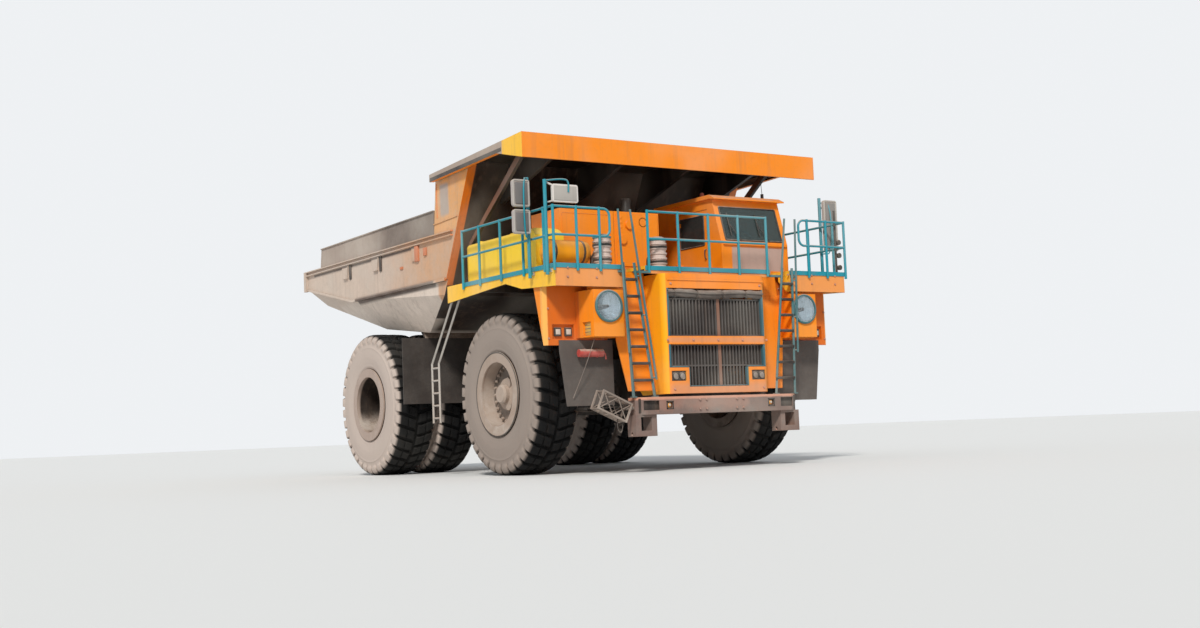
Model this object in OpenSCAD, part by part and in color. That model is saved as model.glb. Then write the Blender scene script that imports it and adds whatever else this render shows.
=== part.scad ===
// Rigid two-axle mining dump truck, empty and parked on its six wheels.
// X runs across the truck, its left side at +X. Y runs along it and the front faces -Y. Z is up.
// The origin is on the ground, below the middle of the overall length.

/* [Chassis] */
// Distance between the two axles
wheelbase = 5300; // [5100:20:5500]
// Front axle to the front face of the bumper
front_overhang = 2910; // [2860:10:3000]
// Rear axle to the tail of the dump body
rear_overhang = 3400; // [3300:10:3500]
// Half of the width over the frame rails
rail_out_x = 650; // [620:5:680]
// Width of one frame rail
rail_w = 150; // [120:5:180]
// Height of the top of the rails under the dump body
rail_top_z = 2600; // [2560:5:2640]

/* [Wheels] */
// Outer diameter of a tyre over its lugs
tyre_d = 3060; // [3000:10:3100]
// Width of one tyre
tyre_w = 940; // [900:10:960]
// Depth of the tread lugs
lug_depth = 70; // [50:5:90]
// Number of lugs round a tyre
lug_count = 36; // [24:2:40]
// Diameter of the rim's seat for the bead
rim_d = 1295; // [1270:5:1320]
// Distance of a front tyre's middle from the truck's middle
front_track_x = 2610; // [2590:5:2650]
// Distance of an outer rear tyre's middle from the truck's middle
rear_track_x = 2850; // [2830:5:2880]
// Spacing of the twin rear tyres
twin_pitch = 1020; // [1000:5:1040]
// Distance of a kingpin from the truck's middle
kingpin_x = 1880; // [1860:5:1900]

/* [Front end] */
// Half of the width of the radiator housing
housing_half_x = 1190; // [1150:10:1200]
// Half of the length of the bumper
bumper_half_x = 1850; // [1800:10:1900]
// Diameter of a headlamp
headlamp_d = 520; // [440:10:540]

/* [Decks] */
// Height of the walking decks
deck_z = 3700; // [3660:10:3740]
// Half of the width over the decks
deck_out_x = 3350; // [3300:10:3380]
// Depth of the deck's front and side aprons
apron_h = 400; // [360:10:440]
// Front axle to the front edge of the decks
deck_front = 2710; // [2690:10:2730]
// Length of a side deck
deck_len = 4050; // [3900:10:4100]
// Height of the handrails above the deck
railing_h = 990; // [950:10:1050]
// Diameter of the railing tube
tube_d = 45; // [38:1:50]

/* [Dump body] */
// Half of the width of the dump body at its side walls
body_half_x = 3300; // [3250:10:3340]
// Overhang of the canopy past each side wall
canopy_over = 140; // [100:10:180]
// Height of the top edge of the canopy
canopy_top_z = 6160; // [6100:10:6200]
// Thickness of the body's plates
plate_t = 40; // [30:2:50]
// Distance of the body's hinge pin behind the rear axle
hinge_back = 1200; // [1150:10:1250]
// Height of the body's hinge pin
hinge_z = 2750; // [2730:5:2790]
// Radius of the body's hinge pin
hinge_r = 90; // [80:2:110]

/* [Cab] */
// Width of the cab
cab_w = 1650; // [1600:10:1700]
// Inner side of the cab from the truck's middle
cab_in_x = 800; // [780:10:840]
// Length of the cab at its foot
cab_len = 2050; // [1950:10:2100]
// Height of the cab above the deck
cab_h = 1480; // [1440:10:1540]
// Thickness of the cab's walls and doors
cab_t = 60; // [45:1:70]

/* [Hidden] */
$fn = 48;

// Places along the truck
overall_len = front_overhang + wheelbase + rear_overhang;
front_y = -overall_len / 2;
tail_y = overall_len / 2;
front_axle_y = front_y + front_overhang;
rear_axle_y = front_axle_y + wheelbase;
axle_z = tyre_d / 2;
hinge_y = rear_axle_y + hinge_back;
deck_front_y = front_axle_y - deck_front;
deck_rear_y = deck_front_y + deck_len;
fender_y = front_axle_y - 2200;
rail_in_x = rail_out_x - rail_w;

// Running clearances
pin_gap = 0.3;
move_gap = 10;
seat_gap = 0.3;

// Colours
orange = "darkorange";
yellow = "gold";
teal = "darkcyan";
dust = "tan";
dark = "dimgray";
steel = "gray";
black = "black";

// Helpers: plates cut from an outline, boxes between two corners, bars between two points
module box(lo, hi) { translate(lo) cube(hi - lo); }
module side_plate(outline, x0, x1) {
    translate([x0, 0, 0]) rotate([90, 0, 90]) linear_extrude(x1 - x0) polygon(outline);
}
module cut_y(y0, y1) { translate([0, y1, 0]) rotate([90, 0, 0]) linear_extrude(y1 - y0) children(); }
module cross_plate(outline, y0, y1) { cut_y(y0, y1) polygon(outline); }
module plan_plate(outline, z0, z1) {
    translate([0, 0, z0]) linear_extrude(z1 - z0) polygon(outline);
}
// A rectangle between two corners with round corners
module round_rect(lo, hi, r) {
    translate(lo + [r, 0]) square([hi[0] - lo[0] - 2 * r, hi[1] - lo[1]]);
    translate(lo + [0, r]) square([hi[0] - lo[0], hi[1] - lo[1] - 2 * r]);
    for (x = [lo[0] + r, hi[0] - r]) for (y = [lo[1] + r, hi[1] - r]) translate([x, y]) circle(r);
}
module rod(p, q, d) {
    v = q - p;
    translate(p) rotate([0, acos(v[2] / norm(v)), atan2(v[1], v[0])]) cylinder(d = d, h = norm(v));
}
// A quarter bend of tube diameter d about the corner of the first quadrant
module tube_bend(r, d) intersection() {
    rotate_extrude() translate([r, 0]) circle(d = d);
    translate([0, 0, -d]) cube([r + d, r + d, 2 * d]);
}
module x_bar(x0, x1, y, z, r) { translate([x0, y, z]) rotate([0, 90, 0]) cylinder(r = r, h = x1 - x0); }
module y_bar(y0, y1, x, z, r) { translate([x, y1, z]) rotate([90, 0, 0]) cylinder(r = r, h = y1 - y0); }
module z_bar(z0, z1, x, y, r) { translate([x, y, z0]) cylinder(r = r, h = z1 - z0); }
// A copy on each side of the truck; the pattern is written for the left side
module both_sides() { children(); mirror([1, 0, 0]) children(); }
// The right copy alone
module right_side() { mirror([1, 0, 0]) children(); }
// A solid turned about the axle line at y, drawn as radius and distance from the truck's middle
module turned(outline, y) {
    translate([0, y, axle_z]) rotate([0, 90, 0]) rotate_extrude($fn = 64) polygon(outline);
}

// Frame: two box rails that arch over the front axle and step up over the rear one
axle_boss_r = 170;
axle_boss_h = 400;
kingpin_r = 80;
kingpin_reach = 340;
beam_half_h = 175;
beam_half_d = 170;
cross_tube_r = 140;
rail_front_end_y = front_y + 330;
rail_low_z = 1250;
rail_front_z = axle_z + beam_half_h + 15;
rail_rear_low_z = 2080;
arch_z = rail_front_z + 40;
arch_top_z = 2150;
arch_half = 400;
rail_head_r = 220;
rear_hitch_z = 1560;
rear_hitch_r = 45;
rear_hitch_y = rear_axle_y + 1000;
rear_plate_y = rear_axle_y + 700;
deck_beam_x = 3250;
deck_beam_w = 120;
deck_beam_z = 3500;
deck_beams = [
    // front face in y, top of the rail below it
    [front_axle_y - 1300, rail_front_z],
    [front_axle_y + 300, arch_top_z]
];
cross_tubes = [
    // y, z
    [front_axle_y - 1400, rail_front_z - cross_tube_r],
    [front_axle_y + 900, rail_front_z - cross_tube_r],
    [rear_axle_y - 1150, 2300],
    [rear_axle_y + 800, 2400]
];
module frame_rail() {
    side_plate([[rail_front_end_y, rail_low_z], [front_axle_y - arch_half - 200, rail_low_z],
        [front_axle_y - arch_half, arch_z], [front_axle_y + arch_half, arch_z],
        [front_axle_y + arch_half + 200, rail_low_z], [rear_axle_y - 1900, rail_low_z + 50],
        [rear_axle_y - 900, rail_rear_low_z], [hinge_y, rail_rear_low_z + 250],
        [hinge_y, rail_top_z], [front_axle_y + 2200, rail_top_z], [front_axle_y + 1500, arch_top_z],
        [front_axle_y - 700, arch_top_z], [front_axle_y - 1000, rail_front_z],
        [rail_front_end_y, rail_front_z]], rail_in_x, rail_out_x);
    // round head with the hinge pin of the dump body
    x_bar(rail_in_x, rail_out_x, hinge_y, hinge_z, rail_head_r);
    side_plate([[hinge_y - 300, rail_top_z - 60], [hinge_y, rail_rear_low_z + 250],
        [hinge_y + rail_head_r * 0.95, hinge_z - rail_head_r * 0.3],
        [hinge_y - rail_head_r * 0.6, hinge_z + rail_head_r * 0.8]], rail_in_x, rail_out_x);
}
module hoist_foot_pin() {
    x_bar(rail_out_x - 5, hoist_x + 130, hoist_foot_y, hoist_foot_z, hoist_pin_r);
    x_bar(rail_out_x - 5, rail_out_x + 120, hoist_foot_y, hoist_foot_z, 130);
    box([rail_in_x, hoist_foot_y - 130, hoist_foot_z - 130],
        [rail_out_x, hoist_foot_y + 130, rail_low_z + 200]);
}
module rear_hitch() difference() {
    union() {
        box([-rail_in_x - 5, rear_plate_y, rear_hitch_z - 60], [rail_in_x + 5, rear_plate_y + 60, 2400]);
        box([-110, rear_plate_y + 50, rear_hitch_z - 60], [110, rear_hitch_y + 100, rear_hitch_z + 60]);
    }
    z_bar(rear_hitch_z - 70, rear_hitch_z + 70, 0, rear_hitch_y, rear_hitch_r);
}
module frame_rails() color(dark) {
    both_sides() {
        frame_rail();
        hoist_foot_pin();
    }
    for (c = cross_tubes) x_bar(-rail_in_x - 5, rail_in_x + 5, c[0], c[1], cross_tube_r);
    // posts and cross beams that carry the decks
    for (b = deck_beams) {
        box([-deck_beam_x, b[0], deck_beam_z],
            [deck_beam_x, b[0] + deck_beam_w, deck_z - deck_t - seat_gap]);
        both_sides() box([rail_in_x, b[0], b[1] - 20], [rail_out_x, b[0] + deck_beam_w, deck_beam_z + 5]);
    }
    // cradle below the radiator housing
    box([-housing_half_x, rail_front_end_y, rail_low_z],
        [housing_half_x, rail_front_end_y + 220, housing_low_z - seat_gap]);
    x_bar(-rail_out_x - 150, rail_out_x + 150, hinge_y, hinge_z, hinge_r);
    rear_hitch();
}

// Front axle: a beam with a fork boss and kingpin at each end, webbed between them
web_x = [750, 1650];
web_off = 130;
web_half = 60;
module front_axle_beam() color(dark) {
    difference() {
        box([-kingpin_x + 60, front_axle_y - beam_half_d, axle_z - beam_half_h],
            [kingpin_x - 60, front_axle_y + beam_half_d, axle_z + beam_half_h]);
        both_sides() for (w = [-web_off, web_off])
            box([web_x[0], front_axle_y + w - web_half, axle_z - beam_half_h + web_half],
                [web_x[1], front_axle_y + w + web_half, axle_z + beam_half_h - web_half]);
    }
    both_sides() {
        z_bar(axle_z - axle_boss_h / 2, axle_z + axle_boss_h / 2, kingpin_x, front_axle_y, axle_boss_r);
        z_bar(axle_z - kingpin_reach, axle_z + kingpin_reach, kingpin_x, front_axle_y, kingpin_r);
    }
}

// Rear axle: a drum between the twin wheels with a stub into each hub and a pad for each strut
rear_spindle_r = 280;
rear_spindle_x = 2450;
rear_hub_in_x = 1420;
rear_pad_z = axle_z + 120;
module rear_axle_housing() color(dark) {
    both_sides() side_plate([[rear_axle_y + 250, axle_z - 200], [rear_axle_y + 720, axle_z - 60],
        [rear_axle_y + 720, rear_pad_z], [rear_axle_y + 480, rear_pad_z],
        [rear_axle_y + 250, axle_z + 200]], rear_strut_x - 90, rear_strut_x + 90);
    both_sides() turned([[0, 0], [500, 0], [500, 250], [430, 700], [430, 1150], [360, 1300],
        [360, rear_hub_in_x - move_gap], [rear_spindle_r, rear_hub_in_x - move_gap],
        [rear_spindle_r, rear_spindle_x], [0, rear_spindle_x]], rear_axle_y);
}

// Suspension struts between frame and axles, with their brackets on the rails
front_strut_x = 1130;
rear_strut_x = 830;
rear_strut_y = rear_axle_y + 620;
strut_r = 150;
front_strut_top_z = 2900;
rear_strut_top_z = 2560;
module strut(x, y, z0, z1) {
    z_bar(z0, (z0 + z1) / 2 + 60, x, y, strut_r * 0.75);
    z_bar((z0 + z1) / 2, z1, x, y, strut_r);
}
module suspension_struts() color(steel) both_sides() {
    strut(front_strut_x, front_axle_y, axle_z + beam_half_h + seat_gap, front_strut_top_z);
    box([rail_out_x + seat_gap, front_axle_y - 160, arch_top_z - 150],
        [rail_out_x + 120, front_axle_y + 160, front_strut_top_z - 80]);
    box([rail_out_x + 60, front_axle_y - 130, front_strut_top_z - 400],
        [front_strut_x - 60, front_axle_y + 130, front_strut_top_z - 120]);
    strut(rear_strut_x, rear_strut_y, rear_pad_z + seat_gap, rear_strut_top_z);
    box([rail_out_x + seat_gap, rear_strut_y - 80, rear_strut_top_z - 240],
        [rear_strut_x - 60, rear_strut_y + 80, rear_strut_top_z - 40]);
}

// Engine with its generator, one closed mass on the rails
engine_half_x = 470;
engine_top_z = 3150;
engine_front_y = front_axle_y - 1750;
engine_rear_y = front_axle_y + 1250;
module engine_block() color(dark)
    box([-engine_half_x, engine_front_y, rail_front_z + seat_gap],
        [engine_half_x, engine_rear_y, engine_top_z]);

// Radiator housing: a shell with round front corners, open at the back, round two openings
housing_low_z = 1380;
housing_top_z = 3560;
housing_front_y = front_y + 25;
housing_rear_y = front_axle_y - 1600;
housing_foot_rear_y = housing_rear_y - 500;
housing_knee_z = 1900;
housing_t = 30;
housing_front_t = 90;
housing_corner_r = 150;
frame_w = 80;
grille_half_x = housing_half_x - frame_w;
grille_foot_x = 690;
grille_top = [2420, 3290];
grille_low = [1500, 2270];
pocket_z = 1850;
fog_lo = [760, 1610];
fog_hi = [1080, 1790];
lip_z = 3430;
module housing_plan() difference() {
    union() {
        translate([-housing_half_x, housing_front_y + housing_corner_r])
            square([2 * housing_half_x, housing_rear_y - housing_front_y - housing_corner_r]);
        translate([-housing_half_x + housing_corner_r, housing_front_y])
            square([2 * (housing_half_x - housing_corner_r), housing_corner_r + 5]);
        for (s = [-1, 1]) translate([s * (housing_half_x - housing_corner_r),
            housing_front_y + housing_corner_r]) circle(housing_corner_r);
    }
    translate([-housing_half_x + housing_t, housing_front_y + housing_front_t])
        square([2 * (housing_half_x - housing_t), housing_rear_y - housing_front_y]);
}
module grille_upper_outline() polygon([[-grille_half_x, grille_top[0]], [grille_half_x, grille_top[0]],
    [grille_half_x, grille_top[1]], [-grille_half_x, grille_top[1]]]);
module grille_lower_outline() polygon([[-grille_foot_x, grille_low[0]], [grille_foot_x, grille_low[0]],
    [grille_foot_x, pocket_z], [grille_half_x, pocket_z], [grille_half_x, grille_low[1]],
    [-grille_half_x, grille_low[1]], [-grille_half_x, pocket_z], [-grille_foot_x, pocket_z]]);
module radiator_housing() color(orange) {
    difference() {
        intersection() {
            translate([0, 0, housing_low_z]) linear_extrude(housing_top_z - housing_low_z) housing_plan();
            side_plate([[housing_front_y - 10, housing_low_z], [housing_foot_rear_y, housing_low_z],
                [housing_rear_y, housing_knee_z], [housing_rear_y, housing_top_z],
                [housing_front_y - 10, housing_top_z]], -housing_half_x - 10, housing_half_x + 10);
        }
        cut_y(housing_front_y - 5, housing_front_y + housing_front_t + 5) {
            grille_upper_outline();
            grille_lower_outline();
            for (s = [-1, 1]) translate([s * (fog_lo[0] + fog_hi[0]) / 2, (fog_lo[1] + fog_hi[1]) / 2])
                square(fog_hi - fog_lo, center = true);
        }
    }
    box([-housing_half_x + 5, housing_front_y + housing_corner_r, housing_top_z - housing_t],
        [housing_half_x - 5, housing_rear_y - 5, housing_top_z - 1]);
    // lip over the upper opening
    box([-grille_half_x, housing_front_y - 15, lip_z], [grille_half_x, housing_front_y + 5, lip_z + 40]);
}

// Grille: upright slats on cross strips in each opening, with the radiator core behind them
slat_pitch = 74;
slat_w = 30;
slat_d = 40;
strip_h = 30;
divider_x = 95;
divider_w = 70;
grille_y = housing_front_y + housing_front_t + seat_gap;
roll_r = 80;
roll_z = grille_top[1] - roll_r - seat_gap;
slat_top_z = [roll_z - roll_r - 10, grille_low[1] + 10];
module slat_field(low, high, foot_x, foot_z) {
    slat_n = floor((2 * grille_half_x - slat_w) / slat_pitch);
    for (i = [0 : slat_n]) {
        x = -slat_n * slat_pitch / 2 + i * slat_pitch;
        box([x - slat_w / 2, grille_y, (abs(x) > foot_x ? foot_z : low) - 10],
            [x + slat_w / 2, grille_y + slat_d, high]);
    }
    for (z = [foot_z, high - strip_h]) box([-grille_half_x - 20, grille_y, z],
        [grille_half_x + 20, grille_y + slat_d + 10, z + strip_h]);
    // wider divider strip beside the middle
    box([divider_x - divider_w / 2, grille_y - 0.1, low - 10],
        [divider_x + divider_w / 2, grille_y + slat_d + 10, high]);
}
module grille() color(dark) {
    slat_field(grille_top[0], slat_top_z[0], grille_half_x, grille_top[0]);
    slat_field(grille_low[0], slat_top_z[1], grille_foot_x, pocket_z + 20);
    box([-grille_foot_x - 20, grille_y, grille_low[0] - 10],
        [grille_foot_x + 20, grille_y + slat_d + 10, grille_low[0] + 20]);
    box([-grille_half_x - 20, grille_y + slat_d + 9, grille_low[0] + 380],
        [grille_half_x + 20, grille_y + 160, slat_top_z[0]]);
}
// Rolled winter cover below the top edge of the upper opening
module cover_roll() color(steel)
    x_bar(-grille_half_x + 5, grille_half_x - 5, housing_front_y + 65, roll_z, roll_r);

// Bumper: a beam bent from plate, open at the back, with openings and two lower towing brackets
bumper_z = [1020, 1330];
bumper_d = 330;
bumper_t = 20;
bumper_bevel = [180, 120];
bumper_slot = [[1400, 1100], [1720, 1265]];
marker_x = 1170;
marker_z = 1182;
marker_half = 70;
marker_r = 48;
tow_eye_r = 60;
tow_out_x = 1880;
tow_low_z = 640;
module bumper_plan(in) {
    half = bumper_half_x - in;
    polygon([[-half, front_y + bumper_bevel[1]], [-half + bumper_bevel[0], front_y + in],
        [half - bumper_bevel[0], front_y + in], [half, front_y + bumper_bevel[1]],
        [half, front_y + bumper_d + in], [-half, front_y + bumper_d + in]]);
}
module bumper() color(steel) {
    difference() {
        union() {
            difference() {
                translate([0, 0, bumper_z[0]]) linear_extrude(bumper_z[1] - bumper_z[0]) bumper_plan(0);
                translate([0, 0, bumper_z[0] + bumper_t])
                    linear_extrude(bumper_z[1] - bumper_z[0] - 2 * bumper_t) bumper_plan(bumper_t);
            }
            both_sides() box([marker_x - marker_half - 15, front_y + 10, marker_z - marker_half - 15],
                [marker_x + marker_half + 15, front_y + 80, marker_z + marker_half + 15]);
        }
        both_sides() {
            box([bumper_slot[0][0], front_y - 10, bumper_slot[0][1]],
                [bumper_slot[1][0], front_y + 60, bumper_slot[1][1]]);
            box([marker_x - marker_half, front_y - 10, marker_z - marker_half],
                [marker_x + marker_half, front_y + 60, marker_z + marker_half]);
        }
    }
    both_sides() difference() {
        box([tow_out_x - 450, front_y + 60, tow_low_z], [tow_out_x, front_y + bumper_d, bumper_z[0] + 5]);
        box([tow_out_x - 340, front_y + 50, tow_low_z + 100],
            [tow_out_x - 110, front_y + bumper_d + 10, bumper_z[0] - 40]);
        x_bar(tow_out_x - 480, tow_out_x + 20, front_y + 200, tow_low_z + 50, tow_eye_r / 2);
    }
    // arms back to the frame rails
    both_sides() box([rail_in_x, front_y + 10, bumper_z[0] + 5],
        [rail_out_x, rail_front_end_y - seat_gap, bumper_z[1] - 5]);
}

// Folded boarding steps: a hanging frame with slats at the right end of the bumper
steps_len = 660;
steps_h = 360;
steps_tilt = 24;
steps_low_z = 890;
steps_bar = 32;
steps_slats = 5;
module folded_steps() color(steel) right_side() {
    translate([bumper_half_x + 220, front_y + 190, steps_low_z]) rotate([0, -steps_tilt, 0]) {
        for (y = [-110, 110]) {
            box([0, y - steps_bar / 2, 0], [steps_len, y + steps_bar / 2, steps_bar]);
            box([0, y - steps_bar / 2, steps_h - steps_bar], [steps_len, y + steps_bar / 2, steps_h]);
            for (x = [0, steps_len - steps_bar]) box([x, y - steps_bar / 2, 5],
                [x + steps_bar, y + steps_bar / 2, steps_h - 5]);
        }
        for (i = [0 : steps_slats - 1]) for (z = [12, steps_h - 24])
            translate([30 + i * (steps_len - 110) / (steps_slats - 1), 0, z]) box([0, -120, 0], [60, 120, 14]);
    }
    // hanger on the end of the bumper
    box([bumper_half_x + seat_gap, front_y + 140, bumper_z[0] + 100],
        [bumper_half_x + 140, front_y + 310, bumper_z[0] + 150]);
}

// Headlamp pods under the front of the decks, with a side lamp sunk in each outer side
pod_x = [1940, 2580];
pod_flare = 70;
pod_z = [2420, deck_z - apron_h - 45];
pod_back_y = fender_y - seat_gap;
headlamp_x = 2270;
headlamp_z = 2960;
headlamp_r = headlamp_d / 2;
lamp_depth = 110;
side_lamp_y = [deck_front_y + 110, deck_front_y + 330];
side_lamp_z = [2450, 2690];
module headlamp_pods() color(orange) both_sides() difference() {
    union() {
        plan_plate([[pod_x[0], deck_front_y + 10], [pod_x[1], deck_front_y + 10],
            [pod_x[1] + pod_flare, pod_back_y], [pod_x[0], pod_back_y]], pod_z[0], pod_z[1]);
        // neck up to the deck behind the apron
        box([pod_x[0] + 60, deck_front_y + 120, pod_z[1] - 5],
            [pod_x[1] - 60, deck_front_y + 300, deck_z - deck_t - seat_gap]);
        y_bar(deck_front_y - 15, deck_front_y + 15, headlamp_x, headlamp_z, headlamp_r + 25);
    }
    y_bar(deck_front_y - 20, deck_front_y + lamp_depth, headlamp_x, headlamp_z, headlamp_r);
    box([pod_x[1] - 30, side_lamp_y[0], side_lamp_z[0]], [pod_x[1] + 200, side_lamp_y[1], side_lamp_z[1]]);
}
corner_post_x = deck_out_x - 110;
corner_lamps_z = [3750, 3990, 4250];
module lamps() color("white") {
    both_sides() {
        y_bar(deck_front_y - 5, deck_front_y + lamp_depth - seat_gap, headlamp_x, headlamp_z,
            headlamp_r - seat_gap);
        box([pod_x[1] - 30 + seat_gap, side_lamp_y[0] + seat_gap, side_lamp_z[0] + seat_gap],
            [pod_x[1] - 10, side_lamp_y[1] - seat_gap, side_lamp_z[1] - seat_gap]);
        box([fog_lo[0] + seat_gap, housing_front_y + 15, fog_lo[1] + seat_gap],
            [fog_hi[0] - seat_gap, grille_y + slat_d, fog_hi[1] - seat_gap]);
        y_bar(front_y + 12, front_y + 60 - seat_gap, marker_x, marker_z, marker_r);
        for (x = fender_lamp_x) box([x - 75, fender_y + 8, fender_pocket_z[0] + 50],
            [x + 75, fender_y + 50 - seat_gap, fender_pocket_z[1] - 50]);
    }
    // three small lamps on a post at the left front corner
    z_bar(deck_z + seat_gap, deck_z + 1240, corner_post_x, deck_front_y + 80, 22);
    for (z = corner_lamps_z) box([corner_post_x, deck_front_y + 45, z + 10],
        [corner_post_x + 95, deck_front_y + 115, z + 100]);
}

// Front fenders: wedges in front of the wheels, with a pocket for two square lamps
fender_low_z = 2300;
fender_x = [1990, 3300];
fender_lamp_x = [2800, 3020];
fender_pocket_x = [2690, 3140];
fender_pocket_z = [2410, 2670];
fender_bevel = 70;
module front_fenders() color(orange) both_sides() difference() {
    side_plate([[fender_y, fender_low_z], [fender_y + 60, fender_low_z],
        [fender_y + 410, deck_z - deck_t - seat_gap], [fender_y, deck_z - deck_t - seat_gap]],
        fender_x[0], fender_x[1]);
    box([fender_pocket_x[0], fender_y - 10, fender_pocket_z[0]],
        [fender_pocket_x[1], fender_y + 50, fender_pocket_z[1]]);
    // bevelled outer edge
    plan_plate([[fender_x[1] - fender_bevel, fender_y - 10], [fender_x[1] + 10, fender_y - 10],
        [fender_x[1] + 10, fender_y + fender_bevel]], fender_low_z - 10, deck_z);
}
front_flap_z = 1220;
flap_front_y = fender_y - seat_gap - 30;
module front_mudflaps() color(black) both_sides()
    cross_plate([[1900, front_flap_z], [2900, front_flap_z], [3020, fender_low_z - 100],
        [3020, fender_low_z + 90], [1900, fender_low_z + 90]], flap_front_y, fender_y - seat_gap);
// Small canister on a bracket in front of the right mudflap
canister_z = 2150;
canister_x = [2210, 2710];
module front_canister() color("firebrick") right_side() {
    x_bar(canister_x[0], canister_x[1], fender_y - 160, canister_z, 70);
    for (x = [canister_x[0] + 80, canister_x[1] - 140]) box([x, fender_y - 150, canister_z + 20],
        [x + 60, flap_front_y - seat_gap, canister_z + 50]);
}
// Flaps and curved guards in front of the rear wheels, hung from the dump body
flap_y = rear_axle_y - 1720;
flap_t = 30;
flap_low_z = 1480;
flap_top_z = 2860;
module rear_mudflaps() color(black) both_sides() {
    box([1500, flap_y, flap_low_z], [3280, flap_y + flap_t, flap_top_z]);
    side_plate([[flap_y, flap_top_z - 10], [flap_y + flap_t, flap_top_z - 10],
        [flap_y + 190, floor_under(flap_y + 190) - 25],
        [flap_y + 190, floor_under(flap_y + 190) - seat_gap],
        [flap_y + 100, floor_under(flap_y + 100) - seat_gap]], 1500, floor_edge_x - 20);
}

// Decks: plates with deep aprons that rise over the wheels
deck_t = 60;
deck_in_x = 1940;
apron_t = 30;
centre_half_x = 1450;
centre_head = 600;
module side_deck() {
    box([deck_in_x, deck_front_y, deck_z - deck_t], [deck_out_x, deck_rear_y, deck_z]);
    box([deck_in_x, deck_front_y, deck_z - apron_h], [deck_out_x, deck_front_y + apron_t, deck_z]);
    side_plate([[deck_front_y, deck_z - apron_h], [front_axle_y - 1540, deck_z - apron_h + 60],
        [front_axle_y - 960, deck_z - 190], [deck_rear_y, deck_z - 330], [deck_rear_y, deck_z],
        [deck_front_y, deck_z]], deck_out_x - apron_t, deck_out_x);
    // end plate beside the ladder
    side_plate([[deck_front_y, deck_z - apron_h], [deck_front_y + 110, deck_z - apron_h],
        [deck_front_y + 340, deck_z - 180], [deck_front_y + 340, deck_z], [deck_front_y, deck_z]],
        deck_in_x, deck_in_x + apron_t);
}
module centre_deck() {
    wing_x = deck_in_x - seat_gap;
    rear_y = deck_rear_y - 600;
    plan_plate([[-centre_half_x, deck_front_y], [centre_half_x, deck_front_y],
        [centre_half_x, deck_front_y + centre_head], [wing_x, deck_front_y + centre_head],
        [wing_x, rear_y], [-wing_x, rear_y], [-wing_x, deck_front_y + centre_head],
        [-centre_half_x, deck_front_y + centre_head]], deck_z - deck_t, deck_z);
    box([-centre_half_x, deck_front_y, housing_top_z + seat_gap],
        [centre_half_x, deck_front_y + apron_t, deck_z]);
}
module decks() color(yellow) {
    both_sides() side_deck();
    centre_deck();
}

// Railings: top and middle rails on posts that reach down over the aprons, with toe boards
post_r = tube_d / 2 + 3;
rail_off = post_r + seat_gap;
rail_short = 720;
loop_in_x = 2200;
loop_r = 130;
toe_t = 12;
toe_h = 80;
post_foot = 130;
// Side posts behind the front axle, and the front posts from the middle
side_posts_y = [-2410, -1680, -860, -50, 620];
front_posts_x = [2420, 2900];
centre_posts_x = [0, 700, 1380];
rail_top = deck_z + railing_h;
rail_mid = deck_z + railing_h / 2;
module post(x, y) z_bar(deck_z - post_foot, rail_top + tube_d / 2 + 4, x, y, post_r);
// A railing along X from its closed end at x0, where the top rail bends down to the middle rail
module looped_rails(x0, x1, y) {
    for (z = [rail_top, rail_mid]) rod([x0 + loop_r, y, z], [x1, y, z], tube_d);
    rod([x0, y, rail_mid + loop_r], [x0, y, rail_top - loop_r], tube_d);
    translate([x0 + loop_r, y, rail_top - loop_r]) rotate([90, 0, 0]) rotate(90) tube_bend(loop_r, tube_d);
    translate([x0 + loop_r, y, rail_mid + loop_r]) rotate([90, 0, 0]) rotate(180) tube_bend(loop_r, tube_d);
}
module railings() color(teal) {
    y = deck_front_y - rail_off;
    side_x = deck_out_x + rail_off;
    side_end_y = deck_rear_y - rail_short;
    both_sides() {
        looped_rails(loop_in_x, side_x, y);
        for (z = [rail_top, rail_mid]) rod([side_x, y, z], [side_x, side_end_y, z], tube_d);
        for (x = front_posts_x) post(x, y);
        post(side_x, y);
        for (p = side_posts_y) post(side_x, front_axle_y + p);
        // toe boards
        box([deck_in_x, deck_front_y - toe_t - 2, deck_z - toe_h],
            [deck_out_x + toe_t, deck_front_y - 2, deck_z + 2]);
        box([deck_out_x + 2, deck_front_y - toe_t, deck_z - toe_h],
            [deck_out_x + toe_t + 2, side_end_y, deck_z + 2]);
        for (x = centre_posts_x) if (x > 0) post(x, y);
    }
    post(0, y);
    for (z = [rail_top, rail_mid])
        rod([-centre_posts_x[2], y, z], [centre_posts_x[2], y, z], tube_d);
    box([-centre_half_x, deck_front_y - toe_t - 2, deck_z - toe_h],
        [centre_half_x, deck_front_y - 2, deck_z + 2]);
}

// Ladders beside the radiator housing: leaning stiles, flat treads and two handrails each
ladder_foot_x = [1405, 1865];
ladder_head_x = [1720, 1962];
ladder_foot_y = front_y + 125;
ladder_head_y = front_y + 150;
ladder_bar = 60;
tread_n = 7;
tread_low_z = 1640;
tread_pitch = 300;
tread_d = 62;
handrail_d = 40;
handrail_off = 55;
side_ladder_x = 3200;
side_ladder_y = front_axle_y + 2090;
side_ladder_w = 300;
side_ladder_top_z = 2240;
ladder_foot_z = bumper_z[1] + 8;
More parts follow.
